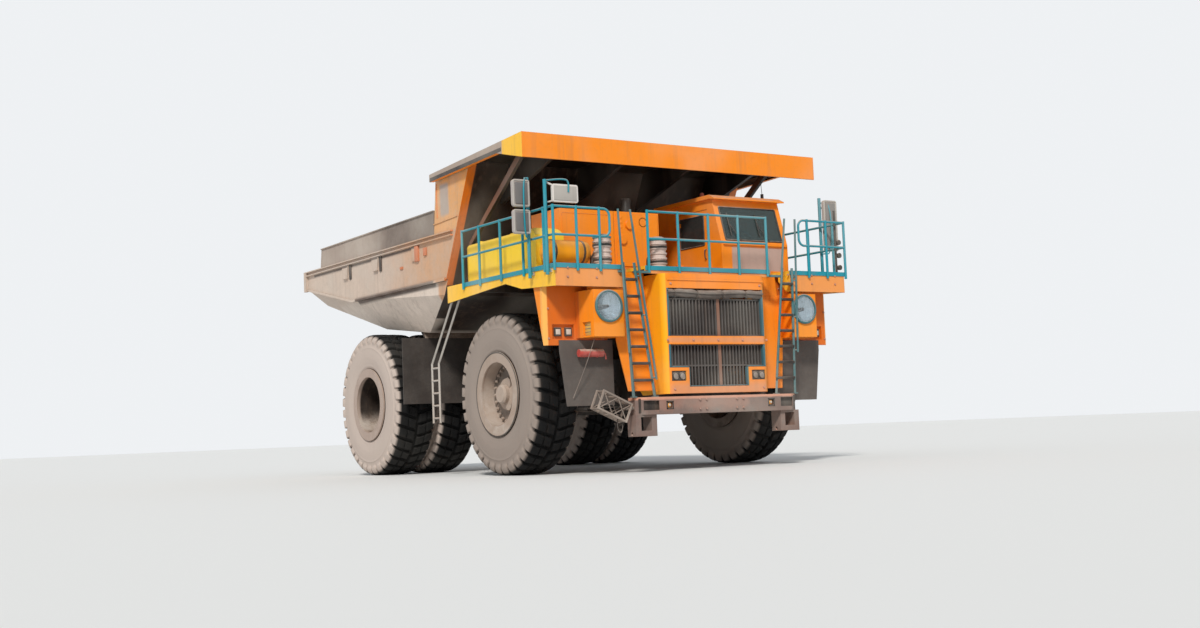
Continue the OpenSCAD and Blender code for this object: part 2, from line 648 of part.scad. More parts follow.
// Point of a stile, 0 for the inner and 1 for the outer one, at height z
function stile_at(k, z) = let (t = (z - ladder_foot_z) / (deck_z - ladder_foot_z))
    [ladder_foot_x[k] + t * (ladder_head_x[k] - ladder_foot_x[k]),
     ladder_foot_y + t * (ladder_head_y - ladder_foot_y), z];
module front_ladders() color(teal) both_sides() {
    for (k = [0, 1]) {
        rod(stile_at(k, ladder_foot_z), stile_at(k, deck_z + 40), ladder_bar, $fn = 4);
        box([ladder_foot_x[k] - 45, ladder_foot_y - 45, bumper_z[1] + seat_gap],
            [ladder_foot_x[k] + 45, ladder_foot_y + 45, bumper_z[1] + 20]);
        // handrail beside the stile on three stays, up to the height of the railings
        off = [k == 0 ? -handrail_off : handrail_off, -handrail_off, 0];
        low_z = tread_low_z + 480 * k;
        rod(stile_at(k, low_z) + off, stile_at(k, rail_top) + off, handrail_d);
        for (z = [low_z + 40, 2800, 3500]) rod(stile_at(k, z), stile_at(k, z) + off, 26);
    }
    for (i = [0 : tread_n - 1]) {
        z = tread_low_z + i * tread_pitch;
        box([stile_at(0, z)[0], stile_at(0, z)[1] - tread_d / 2, z - 12],
            [stile_at(1, z)[0], stile_at(0, z)[1] + tread_d / 2, z + 12]);
    }
    // clamps to the decks on both sides
    box([centre_half_x - 30, stile_at(0, deck_z)[1] - 12, deck_z - toe_h - 60],
        [stile_at(0, deck_z)[0], deck_front_y - seat_gap, deck_z - toe_h - 20]);
    box([stile_at(1, deck_z)[0], stile_at(1, deck_z)[1] - 12, deck_z - toe_h - 60],
        [stile_at(1, deck_z)[0] + 90, deck_front_y - seat_gap, deck_z - toe_h - 20]);
}
// Orange panels behind the ladders, leaning back from the housing's foot to the deck
panel_foot = [front_axle_y - 2500, 1450];
panel_lean = 6.5;
panel_t = 20;
module ladder_panels() color(orange) both_sides() {
    panel_h = (deck_z - deck_t - seat_gap - panel_foot[1]) / cos(panel_lean) - 10;
    in_x = housing_half_x + seat_gap;
    pod_foot_h = pod_z[0] - panel_foot[1] - 60;
    translate([0, panel_foot[0], panel_foot[1]]) rotate([90 - panel_lean, 0, 0]) linear_extrude(panel_t)
        polygon([[in_x, 0], [1790, 0], [pod_x[0] - seat_gap, pod_foot_h], [pod_x[0] - seat_gap, panel_h],
            [in_x, panel_h]]);
}
module side_ladder() color("lightgray") right_side() {
    top_z = deck_z - deck_t - 30;
    box([side_ladder_x - 35, deck_rear_y - 390, top_z - 20],
        [side_ladder_x + 35, deck_rear_y - 310 + side_ladder_w, deck_z - deck_t - seat_gap]);
    for (o = [0, side_ladder_w]) {
        rod([side_ladder_x, deck_rear_y - 350 + o, top_z],
            [side_ladder_x, side_ladder_y + o, side_ladder_top_z], 56, $fn = 4);
        z_bar(1050, side_ladder_top_z + 10, side_ladder_x, side_ladder_y + o, 28, $fn = 4);
    }
    for (i = [0 : 4])
        y_bar(side_ladder_y, side_ladder_y + side_ladder_w, side_ladder_x, 1150 + i * 250, 20);
}

// Cab: front wall with windscreen, rear wall, roof with a brim, floor, door openings on both sides
cab_front_y = front_axle_y - 2100;
cab_rear_y = cab_front_y + cab_len;
cab_lean = 260;
cab_out_x = cab_in_x + cab_w;
cab_top_z = deck_z + cab_h;
cab_sill_z = deck_z + 590;
roof_t = 70;
brim = 60;
visor_len = 150;
pillar_w = 130;
rear_pillar_w = 250;
screen_z = [cab_sill_z + 60, cab_top_z - 170];
glass_t = 15;
door_y = [cab_front_y + 420, cab_front_y + 1400];
door_z = [deck_z + 60, cab_top_z - 190];
module cab_outline() polygon([[cab_front_y, deck_z + seat_gap], [cab_rear_y, deck_z + seat_gap],
    [cab_rear_y, cab_top_z], [cab_front_y + cab_lean, cab_top_z], [cab_front_y, cab_sill_z]]);
module cab_block(x0, x1, in) translate([x0, 0, 0]) rotate([90, 0, 90]) linear_extrude(x1 - x0)
    offset(delta = -in) cab_outline();
door_hinge_off = 26;
door_hinge_y = door_y[1];
hinge_rows = [door_z[0] + 150, door_z[1] - 250];
module cab_left_side() { translate([2 * cab_in_x + cab_w, 0, 0]) mirror([1, 0, 0]) children(); }
module cab_shell() color(orange) {
    cab_walls();
    door_pins();
    cab_left_side() door_pins();
    // roof with its brim and the visor over the windscreen
    side_plate([[cab_front_y + cab_lean - visor_len, cab_top_z - 30],
        [cab_front_y + cab_lean - visor_len, cab_top_z - 5], [cab_front_y + cab_lean, cab_top_z + roof_t],
        [cab_rear_y + brim, cab_top_z + roof_t], [cab_rear_y + brim, cab_top_z - 10],
        [cab_front_y + cab_lean, cab_top_z - 10]], cab_in_x - brim, cab_out_x + brim);
    // ledge under the windscreen
    box([cab_in_x + 40, cab_front_y - 35, cab_sill_z - 45],
        [cab_out_x - 40, cab_front_y + 5, cab_sill_z - 5]);
}
module cab_walls() difference() {
    cab_block(cab_in_x, cab_out_x, 0);
    cab_block(cab_in_x + cab_t, cab_out_x - cab_t, cab_t);
    box([cab_in_x - 10, door_y[0], door_z[0]], [cab_out_x + 10, door_y[1], door_z[1]]);
    box([cab_in_x + pillar_w, cab_front_y - 50, screen_z[0]],
        [cab_out_x - pillar_w, cab_front_y + 330, screen_z[1]]);
    box([cab_in_x + rear_pillar_w, cab_rear_y - 100, screen_z[0]],
        [cab_out_x - rear_pillar_w, cab_rear_y + 100, cab_top_z - 250]);
}
module cab_glass() color("lightblue") difference() {
    intersection() {
        cab_block(cab_in_x, cab_out_x, 0);
        box([cab_in_x + pillar_w + seat_gap, cab_front_y - 50, screen_z[0] + seat_gap],
            [cab_out_x - pillar_w - seat_gap, cab_rear_y + 50, screen_z[1] - seat_gap]);
    }
    cab_block(cab_in_x, cab_out_x, glass_t);
    // the rear pane is lower and narrower than the windscreen
    box([cab_in_x, cab_rear_y - 300, cab_top_z - 250 - seat_gap], [cab_out_x, cab_rear_y + 60, cab_top_z]);
    cab_left_side() box([cab_in_x, cab_rear_y - 300, deck_z],
        [cab_in_x + rear_pillar_w + seat_gap, cab_rear_y + 60, cab_top_z]);
    box([cab_in_x, cab_rear_y - 300, deck_z],
        [cab_in_x + rear_pillar_w + seat_gap, cab_rear_y + 60, cab_top_z]);
}
module cab_interior() color(dark) {
    seat_x = cab_in_x + cab_w / 2 + 150;
    seat_y = cab_front_y + 1150;
    floor_z = deck_z + cab_t + seat_gap * 2;
    wheel = [seat_x, cab_front_y + 560, floor_z + 760];
    box([seat_x - 200, seat_y - 200, floor_z], [seat_x + 200, seat_y + 250, floor_z + 320]);
    box([seat_x - 260, seat_y - 250, floor_z + 315], [seat_x + 260, seat_y + 280, floor_z + 440]);
    box([seat_x - 250, seat_y + 180, floor_z + 435], [seat_x + 250, seat_y + 300, floor_z + 1050]);
    box([cab_in_x + cab_t + 100, cab_front_y + 120, floor_z],
        [cab_out_x - cab_t - 100, cab_front_y + 360, floor_z + 520]);
    rod([seat_x, cab_front_y + 300, floor_z + 500], wheel, 60);
    translate(wheel) rotate([45, 0, 0]) {
        rotate_extrude() translate([200, 0]) circle(d = 36, $fn = 16);
        x_bar(-190, 190, 0, 0, 15);
    }
}
door_gap = 10;
door_pin_r = 12;
door_t = cab_t - 8;
// Door drawn for the inner side of the cab at cab_in_x
module cab_door() {
    window_lo = [door_y[0] + 120, cab_sill_z + 20];
    window_hi = [door_y[1] - 110, door_z[1] - 110];
    difference() {
        box([cab_in_x, door_y[0] + door_gap, door_z[0] + door_gap],
            [cab_in_x + door_t, door_y[1] - door_gap, door_z[1] - door_gap]);
        box([cab_in_x - 5, window_lo[0], window_lo[1]], [cab_in_x + cab_t, window_hi[0], window_hi[1]]);
    }
    box([cab_in_x + 20, window_lo[0] - 5, window_lo[1] - 5],
        [cab_in_x + 28, window_hi[0] + 5, window_hi[1] + 5]);
    for (z = hinge_rows) difference() {
        union() {
            z_bar(z, z + 80, cab_in_x - door_hinge_off, door_hinge_y, 22);
            box([cab_in_x - door_hinge_off - 6, door_hinge_y - 120, z],
                [cab_in_x + 2, door_hinge_y - 8, z + 80]);
        }
        z_bar(z - 1, z + 81, cab_in_x - door_hinge_off, door_hinge_y, door_pin_r + pin_gap);
    }
}
module door_pins() for (z = hinge_rows) {
    z_bar(z - 40, z + 120, cab_in_x - door_hinge_off, door_hinge_y, door_pin_r);
    for (b = [-40, 90]) box([cab_in_x - door_hinge_off - 12, door_hinge_y, z + b],
        [cab_in_x + 2, door_hinge_y + 60, z + b + 30]);
}
module cab_door_right() color(orange) cab_door();
module cab_door_left() color(orange) cab_left_side() cab_door();

// Tanks, cabinets and air cleaners on the deck
oil_tank_x = [2520, 3120];
oil_tank_h = 780;
oil_tank_y = [front_axle_y - 1700, front_axle_y + 900];
oil_tank_r = 90;
receiver_x = [2220, 3150];
receiver_len = receiver_x[1] - receiver_x[0];
receiver_y = front_axle_y - 2000;
receiver_r = 215;
receiver_z = deck_z + 290;
module deck_tanks() color(yellow) right_side() {
    intersection() {
        side_plate([[oil_tank_y[0], deck_z + seat_gap], [oil_tank_y[1], deck_z + seat_gap],
            [oil_tank_y[1], deck_z + oil_tank_h], [oil_tank_y[0] + 140, deck_z + oil_tank_h],
            [oil_tank_y[0], deck_z + oil_tank_h - 140]], oil_tank_x[0], oil_tank_x[1]);
        cut_y(oil_tank_y[0] - 10, oil_tank_y[1] + 10) round_rect([oil_tank_x[0], deck_z - 200],
            [oil_tank_x[1], deck_z + oil_tank_h], oil_tank_r);
    }
    // air receiver with dished ends on two feet
    translate([receiver_x[0], receiver_y, receiver_z]) rotate([0, 90, 0]) rotate_extrude()
        polygon([[0, 0], [receiver_r * 0.6, 0], [receiver_r * 0.9, 45], [receiver_r, 110],
            [receiver_r, receiver_len - 110], [receiver_r * 0.9, receiver_len - 45],
            [receiver_r * 0.6, receiver_len], [0, receiver_len]]);
    for (x = [receiver_x[0] + 130, receiver_x[1] - 200]) box([x, receiver_y - 100, deck_z + seat_gap],
        [x + 60, receiver_y + 100, deck_z + 120]);
}
cabinet_h = 1180;
cabinet_front_y = front_axle_y - 1500;
module control_cabinets() color(orange) {
    right_side() box([1280, cabinet_front_y, deck_z + seat_gap],
        [2480, cabinet_front_y + 1000, deck_z + cabinet_h]);
    box([-1270, cabinet_front_y, deck_z + seat_gap], [-240, front_axle_y + 600, deck_z + cabinet_h]);
    // round ports on the flanged front of the middle cabinet
    box([-1230, cabinet_front_y - 20, deck_z + 140], [-280, cabinet_front_y + 5, deck_z + cabinet_h - 40]);
    for (p = [[-950, 930], [-1110, 640]])
        y_bar(cabinet_front_y - 60, cabinet_front_y, p[0], deck_z + p[1], 85);
}
cleaner_r = 150;
cleaner_h = 500;
module air_cleaners() color(steel) for (x = [-2190, -970])
    translate([x, deck_front_y + 260, deck_z + seat_gap]) {
        cylinder(r = cleaner_r, h = cleaner_h);
        for (i = [0 : 4]) translate([0, 0, 60 + i * 90]) cylinder(r = cleaner_r + 18, h = 30);
    }
mirror_out_x = 3800;
mirror_post_x = deck_out_x + rail_off + post_r + seat_gap + 35;
mirror_y = front_axle_y - 2000;
square_mirror_y = deck_front_y + 110;
module mirror_post(y, top, arms) {
    z_bar(deck_z - 200, deck_z + top, mirror_post_x, y, 32);
    for (z = [-150, -120]) box([deck_out_x + seat_gap, y - 20, deck_z + z],
        [mirror_post_x, y + 20, deck_z + z + 24]);
    for (z = arms) rod([mirror_post_x, y, deck_z + z], [mirror_out_x - 170, y - 60, deck_z + z], 40);
}
module mirror_head(z0, z1) cut_y(mirror_y - 110, mirror_y - 50)
    round_rect([mirror_out_x - 350, deck_z + z0], [mirror_out_x, deck_z + z1], 60);
module mirrors() color(steel) {
    right_side() {
        mirror_post(mirror_y, 1600, [790, 1290]);
        mirror_head(570, 1005);
        mirror_head(1050, 1540);
        // square mirror on an arm over the corner of the railing
        mirror_post(square_mirror_y, 1470, []);
        rod([mirror_post_x, square_mirror_y, deck_z + 1430], [3250, square_mirror_y, deck_z + 1370], 36);
        rod([mirror_post_x, square_mirror_y, deck_z + 1060], [3250, square_mirror_y, deck_z + 1110], 30);
        cut_y(square_mirror_y - 30, square_mirror_y + 20)
            round_rect([2770, deck_z + 1080], [3300, deck_z + 1400], 40);
    }
    mirror_post(mirror_y, 1600, [620, 1400]);
    mirror_head(510, 1550);
}
fuel_tank_y = [front_axle_y + 1550, front_axle_y + 2900];
fuel_tank_x = [720, 1230];
module fuel_tank() color(steel) {
    cut_y(fuel_tank_y[0], fuel_tank_y[1]) round_rect([fuel_tank_x[0], 1250], [fuel_tank_x[1], 2050], 110);
    for (y = [fuel_tank_y[0] + 200, fuel_tank_y[1] - 300])
        box([rail_out_x + seat_gap, y, 1400], [fuel_tank_x[0] + 10, y + 90, 1900]);
}

// Dump body in side view: floor line, bend line and front wall
canopy_half_x = body_half_x + canopy_over;
floor_edge_x = 2760;
floor_front = [rear_axle_y - 2000, tyre_d - 110];
floor_mid = [rear_axle_y + 100, tyre_d + 130];
floor_rear = [tail_y, 4020];
wall_knee = [floor_front[0] - 1670, 3570];
wall_lean = 0.516;
bend_z = 3870;
bend_front_y = wall_y(bend_z);
bend_rear_y = rear_axle_y + 760;
bend_tail_z = 4400;
bend_rail = 30;
rim_z = 4690;
rim_h = 110;
rim_out = 60;
rim_t = 25;
cheek_rear_y = wall_knee[0] + 310;
canopy_rear = [wall_knee[0] + 170, canopy_top_z - 170];
canopy_front_y = front_axle_y - 1880;
canopy_t = 30;
fascia_h = 460;
fascia_short = 150;
canopy_slope = (canopy_top_z - canopy_rear[1]) / (canopy_rear[0] - canopy_front_y);
wall_h = (canopy_under(wall_knee[0]) - wall_knee[1] - seat_gap) / (1 - canopy_slope * wall_lean);
wall_top = [wall_y(wall_knee[1] + wall_h), wall_knee[1] + wall_h];
// Place of the front wall's face at height z, and height of the canopy's underside at y
function wall_y(z) = wall_knee[0] - wall_lean * (z - wall_knee[1]);
function canopy_under(y) = canopy_top_z - canopy_t - canopy_slope * (y - canopy_front_y);
floor_seam_x = floor_edge_x + seat_gap;
wall_seam_x = body_half_x - plate_t;
wall_t = 45;
side_skin_t = plate_t + 15;
gusset_y = [wall_knee[0] + 2900, wall_knee[0] + 4500];
gusset_h = 300;
// Corners of the sloping side panel ahead of the floor's bend
side_low_front = [[floor_seam_x, floor_front[0], floor_front[1]], [floor_seam_x, floor_mid[0], floor_mid[1]],
    [wall_seam_x, bend_rear_y, bend_z], [wall_seam_x, bend_front_y, bend_z],
    [wall_seam_x, wall_knee[0], wall_knee[1]]];
// A plate of vertical thickness t through corner points, each given as x, y, z
module skin(corners, t = plate_t) hull() for (c = corners) translate(c) cube([1, 1, t]);
// Height of the floor's underside at y, ahead of and behind its bend
function floor_under(y) = y < floor_mid[0]
    ? floor_front[1] + (y - floor_front[0]) * (floor_mid[1] - floor_front[1]) / (floor_mid[0] - floor_front[0])
    : floor_mid[1] + (y - floor_mid[0]) * (floor_rear[1] - floor_mid[1]) / (floor_rear[0] - floor_mid[0]);
module body_floor() color(dust) side_plate([floor_front, floor_mid, floor_rear,
    [tail_y, floor_rear[1] + plate_t], [floor_mid[0], floor_mid[1] + plate_t],
    [floor_front[0], floor_front[1] + plate_t]], -floor_edge_x, floor_edge_x);
module body_sides() color(dust) both_sides() {
    out_x = body_half_x - 5;
    // upright upper panel with the cheek under the canopy
    side_plate([[bend_front_y, bend_z], [bend_rear_y, bend_z], [tail_y, bend_tail_z],
        [tail_y - 100, rim_z + rim_h], [cheek_rear_y, rim_z + rim_h],
        [canopy_rear[0], canopy_under(canopy_rear[0]) - seat_gap],
        [wall_top[0], canopy_under(wall_top[0]) - seat_gap]], body_half_x - plate_t, body_half_x);
    // rim of two ledges, closed by a post at the tail and stiffened by gussets
    for (z = [rim_z, rim_z + rim_h - rim_t])
        box([out_x, wall_knee[0] - 500, z], [body_half_x + rim_out, tail_y - 60, z + rim_t]);
    box([out_x, tail_y - 120, bend_tail_z - 70], [body_half_x + rim_out, tail_y, rim_z + rim_h]);
    for (y = gusset_y) side_plate([[y, rim_z + 5], [y + 70, rim_z - gusset_h], [y + 270, rim_z - gusset_h],
        [y + 340, rim_z + 5]], out_x, body_half_x + rim_out - 8);
    // rail along the bend above the sloping panels
    side_plate([[bend_front_y + 40, bend_z - bend_rail], [bend_rear_y, bend_z - bend_rail],
        [tail_y - 60, bend_tail_z - bend_rail - 15], [tail_y - 60, bend_tail_z + bend_rail - 15],
        [bend_rear_y, bend_z + bend_rail], [bend_front_y + 20, bend_z + bend_rail]],
        body_half_x - plate_t + 5, body_half_x + 25);
    skin(side_low_front, side_skin_t);
    skin([[floor_seam_x, floor_mid[0], floor_mid[1]], [floor_seam_x, floor_rear[0] - 1, floor_rear[1]],
        [wall_seam_x, tail_y - 1, bend_tail_z], [wall_seam_x, bend_rear_y, bend_z]], side_skin_t);
}
module body_front_wall() color(dust) {
    wall_in_x = wall_seam_x - seat_gap;
    difference() {
        union() {
            side_plate([wall_top, wall_knee, [wall_knee[0] + wall_t, wall_knee[1] + 20],
                [wall_top[0] + wall_t, canopy_under(wall_top[0] + wall_t) - seat_gap]],
                -wall_in_x, wall_in_x);
            skin([[-wall_in_x, wall_knee[0], wall_knee[1]], [wall_in_x - 1, wall_knee[0], wall_knee[1]],
                [floor_edge_x - 1, floor_front[0] - 1 - seat_gap, floor_front[1]],
                [-floor_edge_x, floor_front[0] - 1 - seat_gap, floor_front[1]]]);
        }
        // the side panels' room with its clearance
        both_sides() hull() for (c = side_low_front)
            translate(c - [seat_gap, 0, 2]) cube([100, 1, side_skin_t + 4]);
    }
}
brace_x = [2880, 2950];
brace_low_z = 4400;
brace_w = 170;
brace_top_y = canopy_front_y + 560;
rib_x = [800, 2400];
rib_front_y = canopy_front_y + 300;
rib_drop = 750;
module canopy() color(orange) {
    side_plate([[canopy_front_y, canopy_top_z - canopy_t], [canopy_rear[0], canopy_rear[1] - canopy_t],
        canopy_rear, [canopy_front_y, canopy_top_z]], -canopy_half_x, canopy_half_x);
    box([-canopy_half_x, canopy_front_y, canopy_top_z - fascia_h],
        [canopy_half_x, canopy_front_y + canopy_t, canopy_top_z - 5]);
    rib_foot_z = wall_top[1] - rib_drop;
    both_sides() {
        side_plate([[canopy_front_y, canopy_top_z - 5], [canopy_front_y, canopy_top_z - fascia_h],
            [canopy_front_y + 950, canopy_top_z - 230], [canopy_rear[0], canopy_rear[1] - fascia_short],
            [canopy_rear[0], canopy_rear[1] - 5]], canopy_half_x - canopy_t, canopy_half_x);
        // ribs between canopy and front wall
        for (x = rib_x) side_plate([[rib_front_y, canopy_under(rib_front_y) + 5],
            [rib_front_y, canopy_under(rib_front_y) - 150], [wall_y(rib_foot_z) - seat_gap, rib_foot_z],
            [wall_top[0] - seat_gap, wall_top[1]], [wall_top[0], canopy_under(wall_top[0]) + 5]],
            x - 40, x + 40);
        // brace from the wall up to the canopy's edge
        side_plate([[wall_y(brace_low_z) - seat_gap, brace_low_z],
            [wall_y(brace_low_z + brace_w) - seat_gap, brace_low_z + brace_w],
            [brace_top_y + 1.6 * brace_w, canopy_under(brace_top_y + 1.6 * brace_w) + 5],
            [brace_top_y, canopy_under(brace_top_y) + 5]], brace_x[0], brace_x[1]);
    }
}
spill_h = 500;
module spill_boards() color(steel) both_sides() {
    foot_z = rim_z + rim_h + seat_gap;
    side_plate([[cheek_rear_y + 20, foot_z], [tail_y - 900, foot_z], [tail_y - 980, foot_z + spill_h - 50],
        [cheek_rear_y - 10, foot_z + spill_h]], body_half_x - plate_t, body_half_x);
    // turned edge along the top
    side_plate([[cheek_rear_y - 10, foot_z + spill_h - 25], [tail_y - 980, foot_z + spill_h - 75],
        [tail_y - 980, foot_z + spill_h - 50], [cheek_rear_y - 10, foot_z + spill_h]],
        body_half_x - 5, body_half_x + 25);
}

// Beams under the floor with hinge lugs and the brackets of the tipping cylinders
beam_front_y = floor_front[0] + 60;
beam_low_z = rail_top_z + 6;
lug_t = 60;
lug_half = 420;
beam_x = [rail_in_x - move_gap, rail_out_x + move_gap];
cheek_t = 39;
cheek_gap = 6;
cheek_half = 110;
cross_box_y = [floor_front[0] + 60, floor_front[0] + 160];
module hinge_lug(x) difference() {
    side_plate([[hinge_y - lug_half, floor_under(hinge_y - lug_half) - seat_gap],
        [hinge_y - 170, hinge_z - 110], [hinge_y + 170, hinge_z - 110],
        [hinge_y + lug_half, floor_under(hinge_y + lug_half) - seat_gap]],
        x, x + lug_t);
    x_bar(x - 10, x + lug_t + 10, hinge_y, hinge_z, hinge_r + pin_gap);
}
module body_beams() color(dust) both_sides() {
    side_plate([[beam_front_y, beam_low_z], [hinge_y - 300, beam_low_z], [hinge_y - 250, hinge_z + 500],
        [tail_y - 400, floor_under(tail_y - 400) - 180], [tail_y - 400, floor_under(tail_y - 400) - seat_gap],
        [floor_mid[0], floor_mid[1] - seat_gap], [beam_front_y, floor_under(beam_front_y) - seat_gap]],
        beam_x[0], beam_x[1]);
    for (x = [beam_x[0] - lug_t, beam_x[1]]) hinge_lug(x);
    // cheeks beside the rod eye, on a cross box below the floor
    front_slope = (wall_knee[1] - floor_front[1]) / (wall_knee[0] - floor_front[0]);
    for (x = [hoist_x - eye_half - cheek_gap - cheek_t, hoist_x + eye_half + cheek_gap])
        side_plate([[hoist_eye_y - cheek_half, hoist_eye_z - 90],
            [hoist_eye_y + cheek_half, hoist_eye_z - 90],
            [floor_front[0] + 100, floor_under(floor_front[0] + 100) - seat_gap],
            [floor_front[0] + 5, floor_front[1] - seat_gap],
            [floor_front[0], floor_front[1] - 10 * seat_gap],
            [0, floor_front[1] - floor_front[0] * front_slope - 10 * seat_gap]], x, x + cheek_t);
    side_plate([[cross_box_y[0], beam_low_z + 244], [cross_box_y[1], beam_low_z + 244],
        [cross_box_y[1], floor_under(cross_box_y[1]) - seat_gap],
        [cross_box_y[0], floor_under(cross_box_y[0]) - seat_gap]],
        beam_x[1] - 1, hoist_x + eye_half + cheek_gap + cheek_t);
}

// Tipping cylinders: barrel, middle stage and rod along the line from foot to body eye
hoist_x = 980;
hoist_pin_r = 55;
hoist_foot_y = rear_axle_y - 1800;
hoist_foot_z = 1200;
hoist_eye_y = hinge_y - 3405;
hoist_eye_z = hinge_z + 100;
eye_half = 90;
hoist_vec = [0, hoist_eye_y - hoist_foot_y, hoist_eye_z - hoist_foot_z];
hoist_len = norm(hoist_vec);
hoist_tilt = atan2(-hoist_vec[1], hoist_vec[2]);
barrel_r = 150;
stage_r = 115;
rod_r = 80;
eye_r = 100;
stage_foot = 190;
rod_foot = 260;
stage_end = hoist_len - eye_r - 60;
barrel_end = stage_end - 50;
module on_hoist_line() {
    translate([hoist_x, hoist_foot_y, hoist_foot_z]) rotate([hoist_tilt, 0, 0]) children();
}
module hoist_barrel() on_hoist_line() difference() {
    union() {
        z_bar(0, barrel_end, 0, 0, barrel_r);
        x_bar(-100, 110, 0, 0, 110);
    }
    z_bar(stage_foot - 6, hoist_len, 0, 0, stage_r + pin_gap);
    x_bar(-200, 200, 0, 0, hoist_pin_r + pin_gap);
}
module hoist_stage() on_hoist_line() difference() {
    z_bar(stage_foot, stage_end, 0, 0, stage_r);
    z_bar(rod_foot - 6, hoist_len, 0, 0, rod_r + pin_gap);
}
module hoist_rod() on_hoist_line() {
    z_bar(rod_foot, hoist_len - 20, 0, 0, rod_r);
    translate([0, 0, hoist_len]) x_bar(-eye_half, eye_half, 0, 0, eye_r);
}
module hoist_barrel_right() color(steel) right_side() hoist_barrel();
module hoist_barrel_left() color(steel) hoist_barrel();
module hoist_stage_right() color(steel) right_side() hoist_stage();
module hoist_stage_left() color(steel) hoist_stage();
module hoist_rod_right() color("silver") right_side() hoist_rod();
module hoist_rod_left() color("silver") hoist_rod();

// Steering knuckles and tie rod
knuckle_lug_t = 110;
knuckle_gap = 6;
spindle_r = 150;
spindle_end_x = 2640;
arm_len = 520;
arm_pin_r = 35;
lug_up_z = axle_z + axle_boss_h / 2 + knuckle_gap;
lug_low_z = axle_z - axle_boss_h / 2 - knuckle_gap - knuckle_lug_t;
tie_rod_z = lug_low_z - 75;
module knuckle() difference() {
    union() {
        for (z = [lug_up_z, lug_low_z]) hull() {
            z_bar(z, z + knuckle_lug_t, kingpin_x, front_axle_y, 140);
            box([kingpin_x + 195, front_axle_y - 160, z],
                [kingpin_x + 240, front_axle_y + 160, z + knuckle_lug_t]);
        }
        box([kingpin_x + 195, front_axle_y - 160, lug_low_z],
            [kingpin_x + 255, front_axle_y + 160, lug_up_z + knuckle_lug_t]);
        x_bar(kingpin_x + 250, spindle_end_x, front_axle_y, axle_z, spindle_r);
        // steering arm to the rear
        box([kingpin_x - 60, front_axle_y + 100, lug_low_z],
            [kingpin_x + 60, front_axle_y + arm_len, lug_low_z + 80]);
        z_bar(lug_low_z, lug_low_z + 80, kingpin_x, front_axle_y + arm_len, 70);
    }
    z_bar(axle_z - 400, axle_z + 400, kingpin_x, front_axle_y, kingpin_r + pin_gap);
    z_bar(axle_z - 400, axle_z, kingpin_x, front_axle_y + arm_len, arm_pin_r + pin_gap);
}
module knuckle_right() color(dark) right_side() knuckle();
module knuckle_left() color(dark) knuckle();
module tie_rod() color(dark) {
    x_bar(-kingpin_x, kingpin_x, front_axle_y + arm_len, tie_rod_z, 45);
    both_sides() {
        z_bar(tie_rod_z - 55, tie_rod_z + 74, kingpin_x, front_axle_y + arm_len, 65);
        z_bar(tie_rod_z - 55, tie_rod_z + 160, kingpin_x, front_axle_y + arm_len, arm_pin_r);
    }
}

// Tyres: a turned carcass with two staggered rows of lugs
tyre_r = tyre_d / 2;
base_r = tyre_r - lug_depth;
bead_r = rim_d / 2 + seat_gap;
half_w = tyre_w / 2;
liner_r = base_r - 120;
// One half of the carcass in section, from the bead over the sidewall to the tread
flank = [[bead_r, half_w - 110], [bead_r + 150, half_w - 40], [bead_r + 430, half_w],
    [base_r - 180, half_w - 20], [base_r - 20, half_w - 80], [base_r, half_w - 140]];
liner = [[liner_r, half_w - 150], [bead_r + 25, half_w - 130]];
module tyre_section() polygon(concat(
    [for (p = flank) [p[0], -p[1]]], [for (i = [5 : -1 : 0]) flank[i]],
    [for (i = [1 : -1 : 0]) liner[i]], [for (p = liner) [p[0], -p[1]]]));
module lug_row(z0, z1, phase) {
    pitch = 360 / lug_count;
    translate([0, 0, z0]) linear_extrude(z1 - z0) polygon([for (i = [0 : lug_count - 1])
        for (c = [[0.08, base_r - 130], [0.16, tyre_r], [0.64, tyre_r], [0.72, base_r - 130]])
            c[1] * [cos((i + c[0] + phase) * pitch), sin((i + c[0] + phase) * pitch)]]);
}
module tyre(rows) rotate([0, 90, 0]) {
    difference() {
        union() {
            rotate_extrude($fn = 72) tyre_section();
            for (r = rows) lug_row(r[0], r[1], r[2]);
        }
        translate([0, 0, -tyre_w]) cylinder(r = liner_r + 1, h = 2 * tyre_w, $fn = 72);
    }
    rotate_extrude($fn = 72) tyre_section();
}
tread_edge = half_w - 60;
side_rows = [[-tread_edge, -15, 0], [15, tread_edge, 0.5]];
one_row = [[-tread_edge, tread_edge, 0]];
module at_wheel(x, y) { translate([x, y, axle_z]) children(); }
module front_tyre_right() color(dark) right_side() at_wheel(front_track_x, front_axle_y) tyre(side_rows);
module front_tyre_left() color(dark) at_wheel(front_track_x, front_axle_y) tyre(side_rows);
module rear_tyres() {
    at_wheel(rear_track_x, rear_axle_y) tyre(side_rows);
    at_wheel(rear_track_x - twin_pitch, rear_axle_y) tyre(one_row);
}
module rear_tyres_right() color(dark) right_side() rear_tyres();
module rear_tyres_left() color(dark) rear_tyres();

